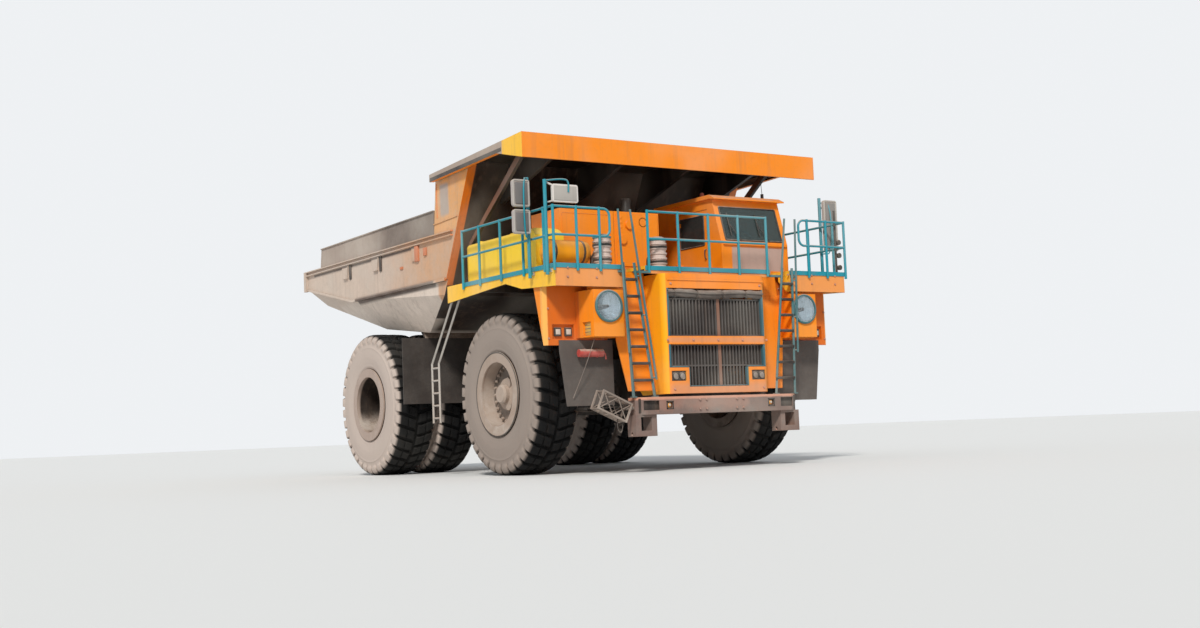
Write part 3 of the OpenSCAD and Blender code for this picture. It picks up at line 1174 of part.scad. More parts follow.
// Rims: barrels with flanges, a dished disc with a ring of nuts, and a hub
rim_r = rim_d / 2;
rim_t_in = 45;
flange_r = 780;
flange_t = 35;
rim_edge = half_w - 5;
nut_ring_r = 520;
nut_n = 24;
nut_r = 26;
front_disc_x = front_track_x + 170;
front_hub_end = front_track_x + 400;
lobe_n = 3;
module nut_ring(x, y, n, ring, r, len) for (i = [0 : n - 1])
    translate([x, y, axle_z]) rotate([i * 360 / n, 0, 0]) translate([0, 0, ring])
        rotate([0, 90, 0]) cylinder(r = r, h = len, $fn = 6);
module front_rim() {
    turned([[rim_r, front_track_x - half_w + 40], [flange_r, front_track_x - half_w + 40],
        [flange_r, front_track_x - rim_edge], [rim_r - rim_t_in, front_track_x - rim_edge],
        [rim_r - rim_t_in, front_track_x + 90], [330, front_track_x + 60], [330, kingpin_x + 300],
        [spindle_r + pin_gap, kingpin_x + 300], [spindle_r + pin_gap, spindle_end_x + 5],
        [0, spindle_end_x + 5], [0, front_hub_end], [150, front_hub_end], [185, front_hub_end - 40],
        [185, front_hub_end - 110], [300, front_hub_end - 150], [330, front_disc_x - 10],
        [rim_r - rim_t_in, front_disc_x], [rim_r - rim_t_in, front_track_x + rim_edge],
        [flange_r, front_track_x + rim_edge], [flange_r, front_track_x + rim_edge - flange_t],
        [rim_r, front_track_x + rim_edge - flange_t]], front_axle_y);
    nut_ring(front_disc_x - 20, front_axle_y, nut_n, nut_ring_r, nut_r, 75);
    // lobes of the planetary hub
    for (i = [0 : lobe_n - 1]) translate([front_disc_x - 30, front_axle_y, axle_z])
        rotate([i * 360 / lobe_n + 30, 0, 0]) translate([0, 0, 235]) rotate([0, 90, 0])
            cylinder(r = 105, h = 150, $fn = 24);
}
module front_rim_right() color(dust) right_side() front_rim();
module front_rim_left() color(dust) front_rim();
rear_in_edge = rear_track_x - twin_pitch - half_w;
rear_disc_x = rear_spindle_x + 20;
module rear_rims_half() {
    turned([[rim_r, rear_in_edge + 40], [flange_r, rear_in_edge + 40], [flange_r, rear_in_edge + 5],
        [rim_r - rim_t_in, rear_in_edge + 5], [rim_r - rim_t_in, 1700], [rear_spindle_r + 60, 1700],
        [rear_spindle_r + 60, rear_hub_in_x], [rear_spindle_r + pin_gap, rear_hub_in_x],
        [rear_spindle_r + pin_gap, rear_spindle_x + 5], [0, rear_spindle_x + 5], [0, rear_disc_x + 190],
        [130, rear_disc_x + 190], [160, rear_disc_x + 160], [200, rear_disc_x + 60],
        [400, rear_disc_x + 50], [430, rear_disc_x], [rim_r - rim_t_in, rear_disc_x],
        [rim_r - rim_t_in, rear_track_x + rim_edge], [flange_r, rear_track_x + rim_edge],
        [flange_r, rear_track_x + rim_edge - flange_t], [rim_r, rear_track_x + rim_edge - flange_t]],
        rear_axle_y);
    nut_ring(rear_disc_x - 20, rear_axle_y, nut_n, nut_ring_r, nut_r, 65);
}
module rear_rims_right() color(dust) right_side() rear_rims_half();
module rear_rims_left() color(dust) rear_rims_half();

frame_rails();
front_axle_beam();
rear_axle_housing();
suspension_struts();
engine_block();
radiator_housing();
grille();
cover_roll();
bumper();
folded_steps();
headlamp_pods();
lamps();
front_fenders();
front_mudflaps();
front_canister();
decks();
railings();
front_ladders();
ladder_panels();
side_ladder();
cab_shell();
cab_glass();
cab_interior();
cab_door_right();
cab_door_left();
deck_tanks();
control_cabinets();
air_cleaners();
mirrors();
fuel_tank();
body_floor();
body_sides();
body_front_wall();
canopy();
body_beams();
spill_boards();
rear_mudflaps();
hoist_barrel_right();
hoist_barrel_left();
hoist_stage_right();
hoist_stage_left();
hoist_rod_right();
hoist_rod_left();
knuckle_right();
knuckle_left();
tie_rod();
front_tyre_right();
front_tyre_left();
front_rim_right();
front_rim_left();
rear_tyres_right();
rear_tyres_left();
rear_rims_right();
rear_rims_left();
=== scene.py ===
# %% [markdown]
# A rigid mining dump truck stands empty on its six wheels. Its steel comes ready from the
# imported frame, at its real size and place. These cells give every surface its finish, and add
# what is too fine for the frame: tread blocks, wheel nuts, seams, straps, lamp glass and a
# rolled radiator cover. Each new piece is a surface worked out with numpy, in metres, in the
# same axes as the frame: X to the truck's left, Y to its tail, Z up.

# %% Load the frame
import math

import bmesh
import bpy
import numpy as np
from mathutils import Matrix, Vector


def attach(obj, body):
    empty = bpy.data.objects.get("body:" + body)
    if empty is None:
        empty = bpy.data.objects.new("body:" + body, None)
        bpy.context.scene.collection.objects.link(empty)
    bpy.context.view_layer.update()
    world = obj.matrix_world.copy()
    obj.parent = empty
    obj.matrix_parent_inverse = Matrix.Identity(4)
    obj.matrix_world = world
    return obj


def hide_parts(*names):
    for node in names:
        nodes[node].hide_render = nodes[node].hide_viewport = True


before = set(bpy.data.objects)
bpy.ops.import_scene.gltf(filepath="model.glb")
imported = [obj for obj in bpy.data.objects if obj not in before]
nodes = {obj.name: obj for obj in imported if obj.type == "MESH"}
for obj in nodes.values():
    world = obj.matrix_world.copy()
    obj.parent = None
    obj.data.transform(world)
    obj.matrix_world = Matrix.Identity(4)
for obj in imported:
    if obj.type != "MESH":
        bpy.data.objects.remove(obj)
scene = bpy.context.scene
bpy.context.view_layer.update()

# %% [markdown]
# The camera stands far ahead of the truck's right front corner, low over the ground, and looks
# slightly up. A long lens keeps the wheels round. Yaw turns it about the upright axis, pitch
# lifts it, and a small roll tilts the horizon as in the photograph.

# %% Camera
CAMERA_PLACE = Vector((-16.55, -27.03, 0.77))
CAMERA_YAW = math.radians(33.33)
CAMERA_PITCH = math.radians(4.56)
CAMERA_ROLL = math.radians(-2.28)
LENS_MM = 43.9
SENSOR_MM = 36
FARTHEST = 500


def make_camera():
    """Aims the camera by its yaw and pitch, then rolls it about its own line of sight."""
    ahead = Vector((
        math.sin(CAMERA_YAW) * math.cos(CAMERA_PITCH),
        math.cos(CAMERA_YAW) * math.cos(CAMERA_PITCH),
        math.sin(CAMERA_PITCH),
    ))
    level_right = ahead.cross(Vector((0, 0, 1))).normalized()
    level_up = level_right.cross(ahead)
    right = math.cos(CAMERA_ROLL) * level_right + math.sin(CAMERA_ROLL) * level_up
    up = math.cos(CAMERA_ROLL) * level_up - math.sin(CAMERA_ROLL) * level_right
    data = bpy.data.cameras.new("camera")
    data.lens = LENS_MM
    data.sensor_width = SENSOR_MM
    data.clip_end = FARTHEST
    camera = bpy.data.objects.new("camera", data)
    turned = Matrix((right, up, -ahead)).transposed().to_4x4()
    camera.matrix_world = Matrix.Translation(CAMERA_PLACE) @ turned
    scene.collection.objects.link(camera)
    scene.camera = camera


make_camera()
print("camera lens:", LENS_MM, "mm, at", [round(v, 2) for v in CAMERA_PLACE])

# %% [markdown]
# The light is plain: one broad sun high on the truck's right front, and a pale sky all round
# that fills the shade. The backdrop is pale only for rays that the camera, a gloss or a glass
# sends out, so it adds no light of its own to the paint.

# %% Light and backdrop
SKY_COLOUR = (0.80, 0.86, 0.92)
BACKDROP_COLOUR = (0.86, 0.88, 0.90)
SKY_STRENGTH = 0.5
SUN_STRENGTH = 2.6
SUN_COLOUR = (1.0, 0.965, 0.91)
SUN_WIDTH = math.radians(9)
SUN_FROM = Vector((-0.62, -0.70, 0.78))


def make_world():
    """Sky colour for diffuse light, backdrop colour for camera, gloss and glass rays."""
    world = bpy.data.worlds.new("studio")
    world.use_nodes = True
    tree = world.node_tree
    tree.nodes.clear()
    out = tree.nodes.new("ShaderNodeOutputWorld")
    sky = tree.nodes.new("ShaderNodeBackground")
    sky.inputs["Color"].default_value = (*SKY_COLOUR, 1)
    sky.inputs["Strength"].default_value = SKY_STRENGTH
    backdrop = tree.nodes.new("ShaderNodeBackground")
    backdrop.inputs["Color"].default_value = (*BACKDROP_COLOUR, 1)
    path = tree.nodes.new("ShaderNodeLightPath")
    seen = path.outputs["Is Camera Ray"]
    for name in ("Is Glossy Ray", "Is Transmission Ray"):
        larger = tree.nodes.new("ShaderNodeMath")
        larger.operation = "MAXIMUM"
        tree.links.new(seen, larger.inputs[0])
        tree.links.new(path.outputs[name], larger.inputs[1])
        seen = larger.outputs[0]
    mix = tree.nodes.new("ShaderNodeMixShader")
    tree.links.new(seen, mix.inputs[0])
    tree.links.new(sky.outputs[0], mix.inputs[1])
    tree.links.new(backdrop.outputs[0], mix.inputs[2])
    tree.links.new(mix.outputs[0], out.inputs[0])
    scene.world = world


def make_sun():
    """One sun, wide enough for soft-edged shadows."""
    data = bpy.data.lights.new("sun", "SUN")
    data.energy = SUN_STRENGTH
    data.angle = SUN_WIDTH
    data.color = SUN_COLOUR
    sun = bpy.data.objects.new("sun", data)
    sun.rotation_euler = (-SUN_FROM).to_track_quat("-Z", "Y").to_euler()
    scene.collection.objects.link(sun)


make_world()
make_sun()
scene.view_settings.view_transform = "Standard"

# %% [markdown]
# Helpers that every later cell leans on. A shape is a pair: its points, and faces that name
# them. A grid is a table of points with two running directions, and its faces join each point
# to its neighbours. Working with whole tables keeps the script quick, and an object made at the
# origin keeps its place in its own mesh, as the frame's nodes do.

# %% Meshes from arrays


MERGE_DISTANCE = 1e-5
new_pieces = []


def grid_faces(rows, columns, wrap_rows=False, wrap_columns=False):
    """Quads over a rows x columns table of points; a wrapped side joins its end to its start."""
    r = np.arange(rows if wrap_rows else rows - 1)
    c = np.arange(columns if wrap_columns else columns - 1)
    i, j = (a.ravel() for a in np.meshgrid(r, c, indexing="ij"))
    i2, j2 = (i + 1) % rows, (j + 1) % columns
    return np.column_stack([i * columns + j, i * columns + j2, i2 * columns + j2, i2 * columns + j])


def joined(shapes):
    """One shape from several: each one's faces are shifted past the points before it."""
    counts = np.cumsum([0] + [len(points) for points, _ in shapes])
    points = np.concatenate([points for points, _ in shapes])
    return points, [face + start for (_, faces), start in zip(shapes, counts) for face in faces]


def add_mesh(name, shape, material, body=None, smooth_angle=40):
    """A mesh object at the origin: doubles merged, faces turned outwards, and edges sharp past
    smooth_angle degrees. With a body's name, the piece rides on that body."""
    points, faces = shape
    mesh = bpy.data.meshes.new(name)
    mesh.from_pydata(np.asarray(points, float).tolist(), [], [face.tolist() for face in faces])
    work = bmesh.new()
    work.from_mesh(mesh)
    bmesh.ops.remove_doubles(work, verts=work.verts, dist=MERGE_DISTANCE)
    bmesh.ops.recalc_face_normals(work, faces=work.faces)
    work.to_mesh(mesh)
    work.free()
    mesh.validate()
    mesh.polygons.foreach_set("use_smooth", np.full(len(mesh.polygons), smooth_angle > 0))
    mesh.set_sharp_from_angle(angle=math.radians(smooth_angle))
    mesh.materials.append(material)
    mesh.update()
    piece = bpy.data.objects.new(name, mesh)
    scene.collection.objects.link(piece)
    if body:
        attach(piece, body)
    new_pieces.append(piece)
    return piece


def tell(title):
    """Prints what the cells above made since the last call."""
    faces = sum(len(piece.data.polygons) for piece in new_pieces)
    print(f"{title}: {len(new_pieces)} pieces, {faces} faces")
    new_pieces.clear()


# %% [markdown]
# Round things, bars, soft-edged boxes and bolts are all grids too. A lamp's ring or a wheel nut
# could be a ready-made cylinder with a bevel, but a profile turned about an axis gives the
# right section at once. A box with round edges is a stretched ball: its edges catch the light
# as welded or moulded ones do.

# %% Shape makers


def frame_of(along):
    """Three unit arrows as rows: two across and one along a direction."""
    along = np.asarray(along, float) / np.linalg.norm(along)
    aside = np.cross((0, 0, 1) if abs(along[2]) < 0.9 else (1, 0, 0), along)
    aside /= np.linalg.norm(aside)
    return np.array([aside, np.cross(along, aside), along])


def revolved(profile, centre, along, steps=32):
    """A turned shape: each profile point (distance along the axis, radius) goes once round it."""
    profile = np.asarray(profile, float)
    turn = np.linspace(0, 2 * np.pi, steps, endpoint=False)
    aside, over, axis = frame_of(along)
    ring = np.cos(turn)[:, None] * aside + np.sin(turn)[:, None] * over
    points = profile[:, 0, None, None] * axis + profile[:, 1, None, None] * ring[None]
    points = points + np.asarray(centre, float)
    return points.reshape(-1, 3), grid_faces(len(profile), steps, wrap_columns=True)


def tube(path, radius, sides=10, across=None):
    """A round bar with closed ends: at each point of the path stands a ring, square to the way
    the path runs. across is a direction that the path never takes."""
    path = np.asarray(path, float)
    along = np.gradient(path, axis=0)
    along /= np.linalg.norm(along, axis=1, keepdims=True)
    aside = np.cross(along, frame_of(along.mean(0) + 1e-6)[0] if across is None else across)
    aside /= np.linalg.norm(aside, axis=1, keepdims=True)
    over = np.cross(along, aside)
    turn = np.linspace(0, 2 * np.pi, sides, endpoint=False)[None, :, None]
    rings = path[:, None] + radius * (np.cos(turn) * aside[:, None] + np.sin(turn) * over[:, None])
    first, last = (np.repeat(end[None], sides, 1) for end in (path[:1], path[-1:]))
    rings = np.concatenate([first, rings, last])
    return rings.reshape(-1, 3), grid_faces(len(rings), sides, wrap_columns=True)


def soft_box(low, high, radius=0.006, steps=2):
    """A box with round edges: a ball's points, each eighth pushed out to its own corner."""
    low, high = np.asarray(low, float), np.asarray(high, float)
    radius = min(radius, 0.49 * float((high - low).min()))
    quarter = np.linspace(0, np.pi / 2, steps + 1)
    turn = np.concatenate([quarter + q * np.pi / 2 for q in range(4)])
    turn_sign = np.repeat([(1, 1), (-1, 1), (-1, -1), (1, -1)], steps + 1, axis=0)
    tilt = np.concatenate([quarter, quarter + np.pi / 2])
    tilt_sign = np.repeat([1, -1], steps + 1)
    ball = np.stack([
        np.outer(np.sin(tilt), np.cos(turn)),
        np.outer(np.sin(tilt), np.sin(turn)),
        np.outer(np.cos(tilt), np.ones(len(turn))),
    ], -1)
    corner = np.empty_like(ball)
    corner[..., :2] = turn_sign[None]
    corner[..., 2] = tilt_sign[:, None]
    points = (low + high) / 2 + corner * ((high - low) / 2 - radius) + radius * ball
    rows, columns = ball.shape[:2]
    caps = [np.arange(4) * (steps + 1) + row * columns for row in (0, rows - 1)]
    return points.reshape(-1, 3), [*grid_faces(rows, columns, wrap_columns=True), *caps]


def copies(shape, places, along=(0, 0, 1)):
    """A small shape drawn about the origin with Z as its axis, set at each place and turned so
    that its axis lies along a direction."""
    points, faces = shape
    turned = np.asarray(points) @ frame_of(along)
    places = np.asarray(places, float)
    all_points = (places[:, None] + turned[None]).reshape(-1, 3)
    return all_points, [face + i * len(points) for i in range(len(places)) for face in faces]


def mirrored(shape):
    """The same shape on both sides of the truck."""
    points, faces = shape
    return joined([(points, faces), (np.asarray(points) * (-1, 1, 1), faces)])


def softened(points, rounds=2):
    """Cuts a line's corners at a quarter and three quarters of its edges, again and again."""
    points = np.asarray(points, float)
    for _ in range(rounds):
        a, b = points[:-1], points[1:]
        cut = np.empty((2 * len(a), points.shape[1]))
        cut[0::2], cut[1::2] = 0.75 * a + 0.25 * b, 0.25 * a + 0.75 * b
        points = np.vstack([points[:1], cut, points[-1:]])
    return points


def walked(points):
    """How far along a line each of its points lies."""
    return np.concatenate([[0], np.cumsum(np.linalg.norm(np.diff(points, axis=0), axis=1))])


UPWARD = (0, 0, 1)
# A hexagonal bolt head of radius 1 on its washer: height, radius
BOLT_PROFILE = [(0, 0), (0, 1.5), (0.25, 1.5), (0.25, 1.0), (0.95, 1.0), (1.15, 0.86), (1.15, 0)]
BOLT = revolved(BOLT_PROFILE, (0, 0, 0), UPWARD, 6)


def bolts(places, along, radius=0.016):
    """Bolt heads of one size, each at a place and looking along a direction."""
    return copies((BOLT[0] * radius, BOLT[1]), places, along)


print("faces of one bolt head:", len(BOLT[1]))

# %% [markdown]
# The truck stands on a plain pale floor that is far larger than the picture shows.

# %% Floor
FLOOR_HALF = 240
FLOOR_COLOUR = (0.80, 0.80, 0.79, 1)
floor_material = bpy.data.materials.new("floor")
floor_material.use_nodes = True
floor_shader = floor_material.node_tree.nodes["Principled BSDF"]
floor_shader.inputs["Base Color"].default_value = FLOOR_COLOUR
floor_shader.inputs["Roughness"].default_value = 0.8
edge = np.array([-1, 1]) * FLOOR_HALF
corners = np.array([(x, y, 0) for x in edge for y in edge])
floor = add_mesh("floor", (corners, grid_faces(2, 2)[:, ::-1]), floor_material)
tell("floor")

# %% [markdown]
# Paint on a working truck is never one colour. Three effects make it: dust that lies on upward
# faces and creeps up from below, wear where edges rub bare, and slow fading over the panels. A
# fourth, the zone, puts another colour in a box of space. Each effect is one node group, used
# by many finishes with its own values. A small class keeps a tree of nodes at hand, so that
# each node is one short call.

# %% Node helpers


def srgb(red, green, blue):
    """A colour given as 0 to 255 screen values, as linear values for a shader."""
    v = np.array([red, green, blue]) / 255
    linear = np.where(v <= 0.04045, v / 12.92, ((v + 0.055) / 1.055) ** 2.4)
    return tuple(float(x) for x in linear)


class Net:
    """Short ways to add nodes to a tree and to join them."""

    def __init__(self, tree):
        self.tree = tree

    def node(self, kind, **settings):
        """A node of that kind with its settings."""
        made = self.tree.nodes.new(kind)
        for key, value in settings.items():
            setattr(made, key, value)
        return made

    def put(self, value, socket):
        """Links a socket, or sets a plain value."""
        if isinstance(value, bpy.types.NodeSocket):
            self.tree.links.new(value, socket)
        elif isinstance(value, tuple) and len(value) == 3 and socket.type == "RGBA":
            socket.default_value = (*value, 1)
        else:
            socket.default_value = value

    def math(self, operation, a, b=0.0, clamp=False):
        """One sum on two values."""
        made = self.node("ShaderNodeMath", operation=operation, use_clamp=clamp)
        self.put(a, made.inputs[0])
        self.put(b, made.inputs[1])
        return made.outputs[0]

    def ramp(self, value, low, high, to_low=0.0, to_high=1.0):
        """Maps value from low..high to to_low..to_high with a smooth step."""
        made = self.node("ShaderNodeMapRange", interpolation_type="SMOOTHSTEP")
        labels = ("Value", "From Min", "From Max", "To Min", "To Max")
        for label, given in zip(labels, (value, low, high, to_low, to_high)):
            self.put(given, made.inputs[label])
        return made.outputs[0]

    def mix(self, share, a, b):
        """Mixes two colours, by the sockets that the node keeps for colours."""
        made = self.node("ShaderNodeMix", data_type="RGBA")
        self.put(share, made.inputs[0])
        self.put(a, made.inputs[6])
        self.put(b, made.inputs[7])
        return made.outputs[2]

    def noise(self, at, scale, detail=3.0, roughness=0.55):
        """Cloudy noise at a place; scale is about the number of clouds in a metre."""
        made = self.node("ShaderNodeTexNoise")
        self.put(at, made.inputs["Vector"])
        self.put(scale, made.inputs["Scale"])
        made.inputs["Detail"].default_value = detail
        made.inputs["Roughness"].default_value = roughness
        return made.outputs[0]

    def stretched(self, at, scale):
        """The place with each axis scaled, for streaks."""
        made = self.node("ShaderNodeMapping")
        self.put(at, made.inputs["Vector"])
        made.inputs["Scale"].default_value = scale
        return made.outputs[0]

    def apart(self, vector):
        """The three parts of a vector."""
        made = self.node("ShaderNodeSeparateXYZ")
        self.put(vector, made.inputs[0])
        return made.outputs


def new_group(name, inputs, outputs):
    """A node group with named sockets: inputs as name, kind, default, and outputs as name, kind."""
    tree = bpy.data.node_groups.new(name, "ShaderNodeTree")
    for label, kind, value in inputs:
        socket = tree.interface.new_socket(label, in_out="INPUT", socket_type="NodeSocket" + kind)
        socket.default_value = (*value, 1) if kind == "Color" else value
    for label, kind in outputs:
        tree.interface.new_socket(label, in_out="OUTPUT", socket_type="NodeSocket" + kind)
    net = Net(tree)
    return net, net.node("NodeGroupInput").outputs, net.node("NodeGroupOutput").inputs


# %% [markdown]
# Sun and rain fade paint in broad patches, stain it with fine mottle, and leave runs down the
# panels. Three noises of different sizes do that. The one for the runs is squeezed along Z, so
# that its clouds become tall streaks. The fine noise also leaves the group, for a relief.

# %% Fading
GREY_DEFAULT = (0.8, 0.8, 0.8)
STAIN = (0.20, 0.13, 0.09)
BLEACHED = (0.86, 0.80, 0.70)
RUN_STRETCH = (7.0, 7.0, 0.45)


def make_fading_group():
    """Slow changes of a paint's colour: broad patches, fine mottle and runs down the panel."""
    net, given, out = new_group(
        "fading",
        [("Colour", "Color", GREY_DEFAULT), ("Amount", "Float", 0.5)],
        [("Colour", "Color"), ("Grain", "Float")])
    place = net.node("ShaderNodeTexCoord").outputs["Object"]
    broad = net.noise(place, scale=0.55, detail=2.0)
    fine = net.noise(place, scale=9.0, detail=4.0, roughness=0.6)
    runs = net.noise(net.stretched(place, RUN_STRETCH), scale=1.0, detail=3.0)
    darker = net.mix(0.55, given["Colour"], STAIN)
    paler = net.mix(0.30, given["Colour"], BLEACHED)
    share = net.math("MULTIPLY", net.ramp(runs, 0.50, 0.78), given["Amount"])
    first = net.mix(share, given["Colour"], darker)
    share = net.math("MULTIPLY", net.ramp(broad, 0.42, 0.72), given["Amount"])
    second = net.mix(share, first, paler)
    fine_amount = net.math("MULTIPLY", given["Amount"], 0.45)
    share = net.math("MULTIPLY", net.ramp(fine, 0.48, 0.80), fine_amount)
    net.put(net.mix(share, second, darker), out["Colour"])
    net.put(fine, out["Grain"])


make_fading_group()

# %% [markdown]
# Dust lies where a face looks up, and mud and dust climb from the ground, so the group adds
# three shares: one by the normal's Z, one by the height, and one all over. Noise breaks the sum
# into patches and specks. Where dust lies, the paint's gloss goes with its colour.

# %% Dust
DUST_COLOUR = srgb(168, 146, 130)
DUST_IN_HOLLOWS = (0.52, 0.45, 0.39)


def make_dust_group():
    """Dust: thick on faces that look up, thinner low down, broken by noise, and matt."""
    net, given, out = new_group(
        "dust",
        [("Colour", "Color", GREY_DEFAULT), ("Roughness", "Float", 0.45),
         ("Dust Colour", "Color", DUST_COLOUR), ("On Top", "Float", 0.8),
         ("All Over", "Float", 0.15), ("Low Down", "Float", 0.6), ("Low Height", "Float", 2.6)],
        [("Colour", "Color"), ("Roughness", "Float"), ("Cover", "Float")])
    coord = net.node("ShaderNodeTexCoord")
    place = coord.outputs["Object"]
    up = net.ramp(net.apart(coord.outputs["Normal"])[2], 0.15, 0.85)
    height = net.apart(place)[2]
    low = net.ramp(height, 0.2, given["Low Height"], 1.0, 0.0)
    patches = net.noise(place, scale=1.9, detail=5.0, roughness=0.62)
    specks = net.noise(place, scale=26.0, detail=3.0, roughness=0.7)
    on_top = net.math("MULTIPLY", up, given["On Top"])
    low_down = net.math("MULTIPLY", low, given["Low Down"])
    total = net.math("ADD", net.math("ADD", on_top, low_down), given["All Over"])
    broken = net.math("MULTIPLY", total, net.ramp(patches, 0.28, 0.66, 0.55, 1.45))
    broken = net.math("MULTIPLY", broken, net.ramp(specks, 0.25, 0.70, 0.75, 1.15), clamp=True)
    shade = net.mix(net.ramp(patches, 0.35, 0.75), given["Dust Colour"], DUST_IN_HOLLOWS)
    net.put(net.mix(broken, given["Colour"], shade), out["Colour"])
    matt = net.math("MULTIPLY", broken, 0.5)
    net.put(net.math("ADD", given["Roughness"], matt, clamp=True), out["Roughness"])
    net.put(broken, out["Cover"])


make_dust_group()

# %% [markdown]
# Edges of doors, steps and rails lose their paint first. A Bevel node gives the normal that a
# rounded edge would have. Where it leaves the flat normal there is an edge, with no mesh
# attribute needed, and noise breaks the bare line into chips.

# %% Edge wear
BARE_STEEL = (0.24, 0.17, 0.13)
BEVEL_SAMPLES = 4


def make_wear_group():
    """Bare metal near edges: one less the dot product of the rounded and the flat normal."""
    net, given, out = new_group(
        "edge_wear",
        [("Colour", "Color", GREY_DEFAULT), ("Bare Colour", "Color", BARE_STEEL),
         ("Amount", "Float", 0.6), ("Radius", "Float", 0.012)],
        [("Colour", "Color"), ("Normal", "Vector")])
    bevel = net.node("ShaderNodeBevel", samples=BEVEL_SAMPLES)
    net.put(given["Radius"], bevel.inputs["Radius"])
    flat = net.node("ShaderNodeNewGeometry").outputs["Normal"]
    dot = net.node("ShaderNodeVectorMath", operation="DOT_PRODUCT")
    net.put(bevel.outputs[0], dot.inputs[0])
    net.put(flat, dot.inputs[1])
    edge = net.ramp(dot.outputs["Value"], 0.999, 0.90)
    place = net.node("ShaderNodeTexCoord").outputs["Object"]
    chips = net.ramp(net.noise(place, scale=5.5, detail=5.0, roughness=0.7), 0.46, 0.60)
    worn = net.math("MULTIPLY", net.math("MULTIPLY", edge, chips), given["Amount"], clamp=True)
    net.put(net.mix(worn, given["Colour"], given["Bare Colour"]), out["Colour"])
    net.put(bevel.outputs[0], out["Normal"])


make_wear_group()

# %% [markdown]
# A plate can be orange on its front and grey inside, and still be one mesh. The zone group
# compares the place with the sides of a box, and the normal with a direction. A soft side
# blends over its width, and a ragged one is moved by noise, as the edge of old paint is. X
# counts from the truck's middle plane, so one box serves both sides.

# %% Zones
FAR = 9  # metres: beyond the truck on every side, for a side of a zone that is left open
OPEN = (-FAR, FAR)
ANY_WAY = -2.0  # less than any dot product of two normals: every face looks the right way
FACING_SOFT = 0.1


def make_zone_group():
    """Another colour inside a box of space, where the face looks the right way: the mask is the
    product of one clamped slope for each of the box's six sides."""
    net, given, out = new_group(
        "zone",
        [("Colour", "Color", GREY_DEFAULT), ("Inside", "Color", (0.5, 0.5, 0.5)),
         ("Low", "Vector", (0, 0, 0)), ("High", "Vector", (FAR, FAR, FAR)), ("Soft", "Float", 0.02),
         ("Ragged", "Float", 0.0), ("Facing", "Vector", UPWARD),
         ("Facing Least", "Float", ANY_WAY), ("Both Sides", "Float", 1.0)],
        [("Colour", "Color"), ("Mask", "Float")])
    coord = net.node("ShaderNodeTexCoord")
    cloud = net.noise(coord.outputs["Object"], scale=3.2, detail=5.0, roughness=0.65)
    rough_edge = net.math("MULTIPLY", net.math("SUBTRACT", cloud, 0.5), given["Ragged"])
    mask = 1.0
    places = net.apart(coord.outputs["Object"])
    sides = zip(places, net.apart(given["Low"]), net.apart(given["High"]))
    for axis, (place, low, high) in enumerate(sides):
        if axis == 0:
            other_side = net.math("SUBTRACT", net.math("ABSOLUTE", place), place)
            place = net.math("ADD", place, net.math("MULTIPLY", other_side, given["Both Sides"]))
        place = net.math("ADD", place, rough_edge)
        for inward in (net.math("SUBTRACT", place, low), net.math("SUBTRACT", high, place)):
            slope = net.math("DIVIDE", inward, given["Soft"])
            mask = net.math("MULTIPLY", mask, net.math("ADD", slope, 0.5, clamp=True))
    normal = net.apart(coord.outputs["Normal"])
    looks = net.apart(given["Facing"])
    dot = net.math("MULTIPLY", net.math("ABSOLUTE", normal[0]), looks[0])
    for axis in (1, 2):
        dot = net.math("ADD", dot, net.math("MULTIPLY", normal[axis], looks[axis]))
    facing = net.ramp(dot, net.math("SUBTRACT", given["Facing Least"], FACING_SOFT),
                      given["Facing Least"])
    share = net.math("MULTIPLY", mask, facing)
    net.put(net.mix(share, given["Colour"], given["Inside"]), out["Colour"])
    net.put(share, out["Mask"])


make_zone_group()
print("effects:", [group.name for group in bpy.data.node_groups])

# %% [markdown]
# A finish places the groups one after another: zones first, then fading, bare edges and dust.
# One function serves all the paint, steel and rubber, and each finish only gives the values
# that differ. Dust keeps off a zone by the share that it calls clean. The shader stays in the
# material itself, and what is the same all over is set on its own sockets.

# %% Finishes from the groups
GRAIN_DEPTH = 0.01
GLASS_IOR = 1.45


def place_group(net, name, **values):
    """Places a group and gives its inputs by name, with underscores for spaces."""
    made = net.node("ShaderNodeGroup", node_tree=bpy.data.node_groups[name])
    for key, value in values.items():
        net.put(value, made.inputs[key.replace("_", " ")])
    return made.outputs


def zone(colour, x=OPEN, y=OPEN, z=OPEN, clean=0.0, **more):
    """A colour and the box of space that it fills, ready for painted(). clean is the share of the
    all-over dust that stays off there, and more may set Soft, Ragged, Facing or Both_Sides."""
    (low_x, high_x), (low_y, high_y), (low_z, high_z) = x, y, z
    box = dict(Low=(low_x, low_y, low_z), High=(high_x, high_y, high_z))
    return clean, dict(Inside=colour, **box, **more)


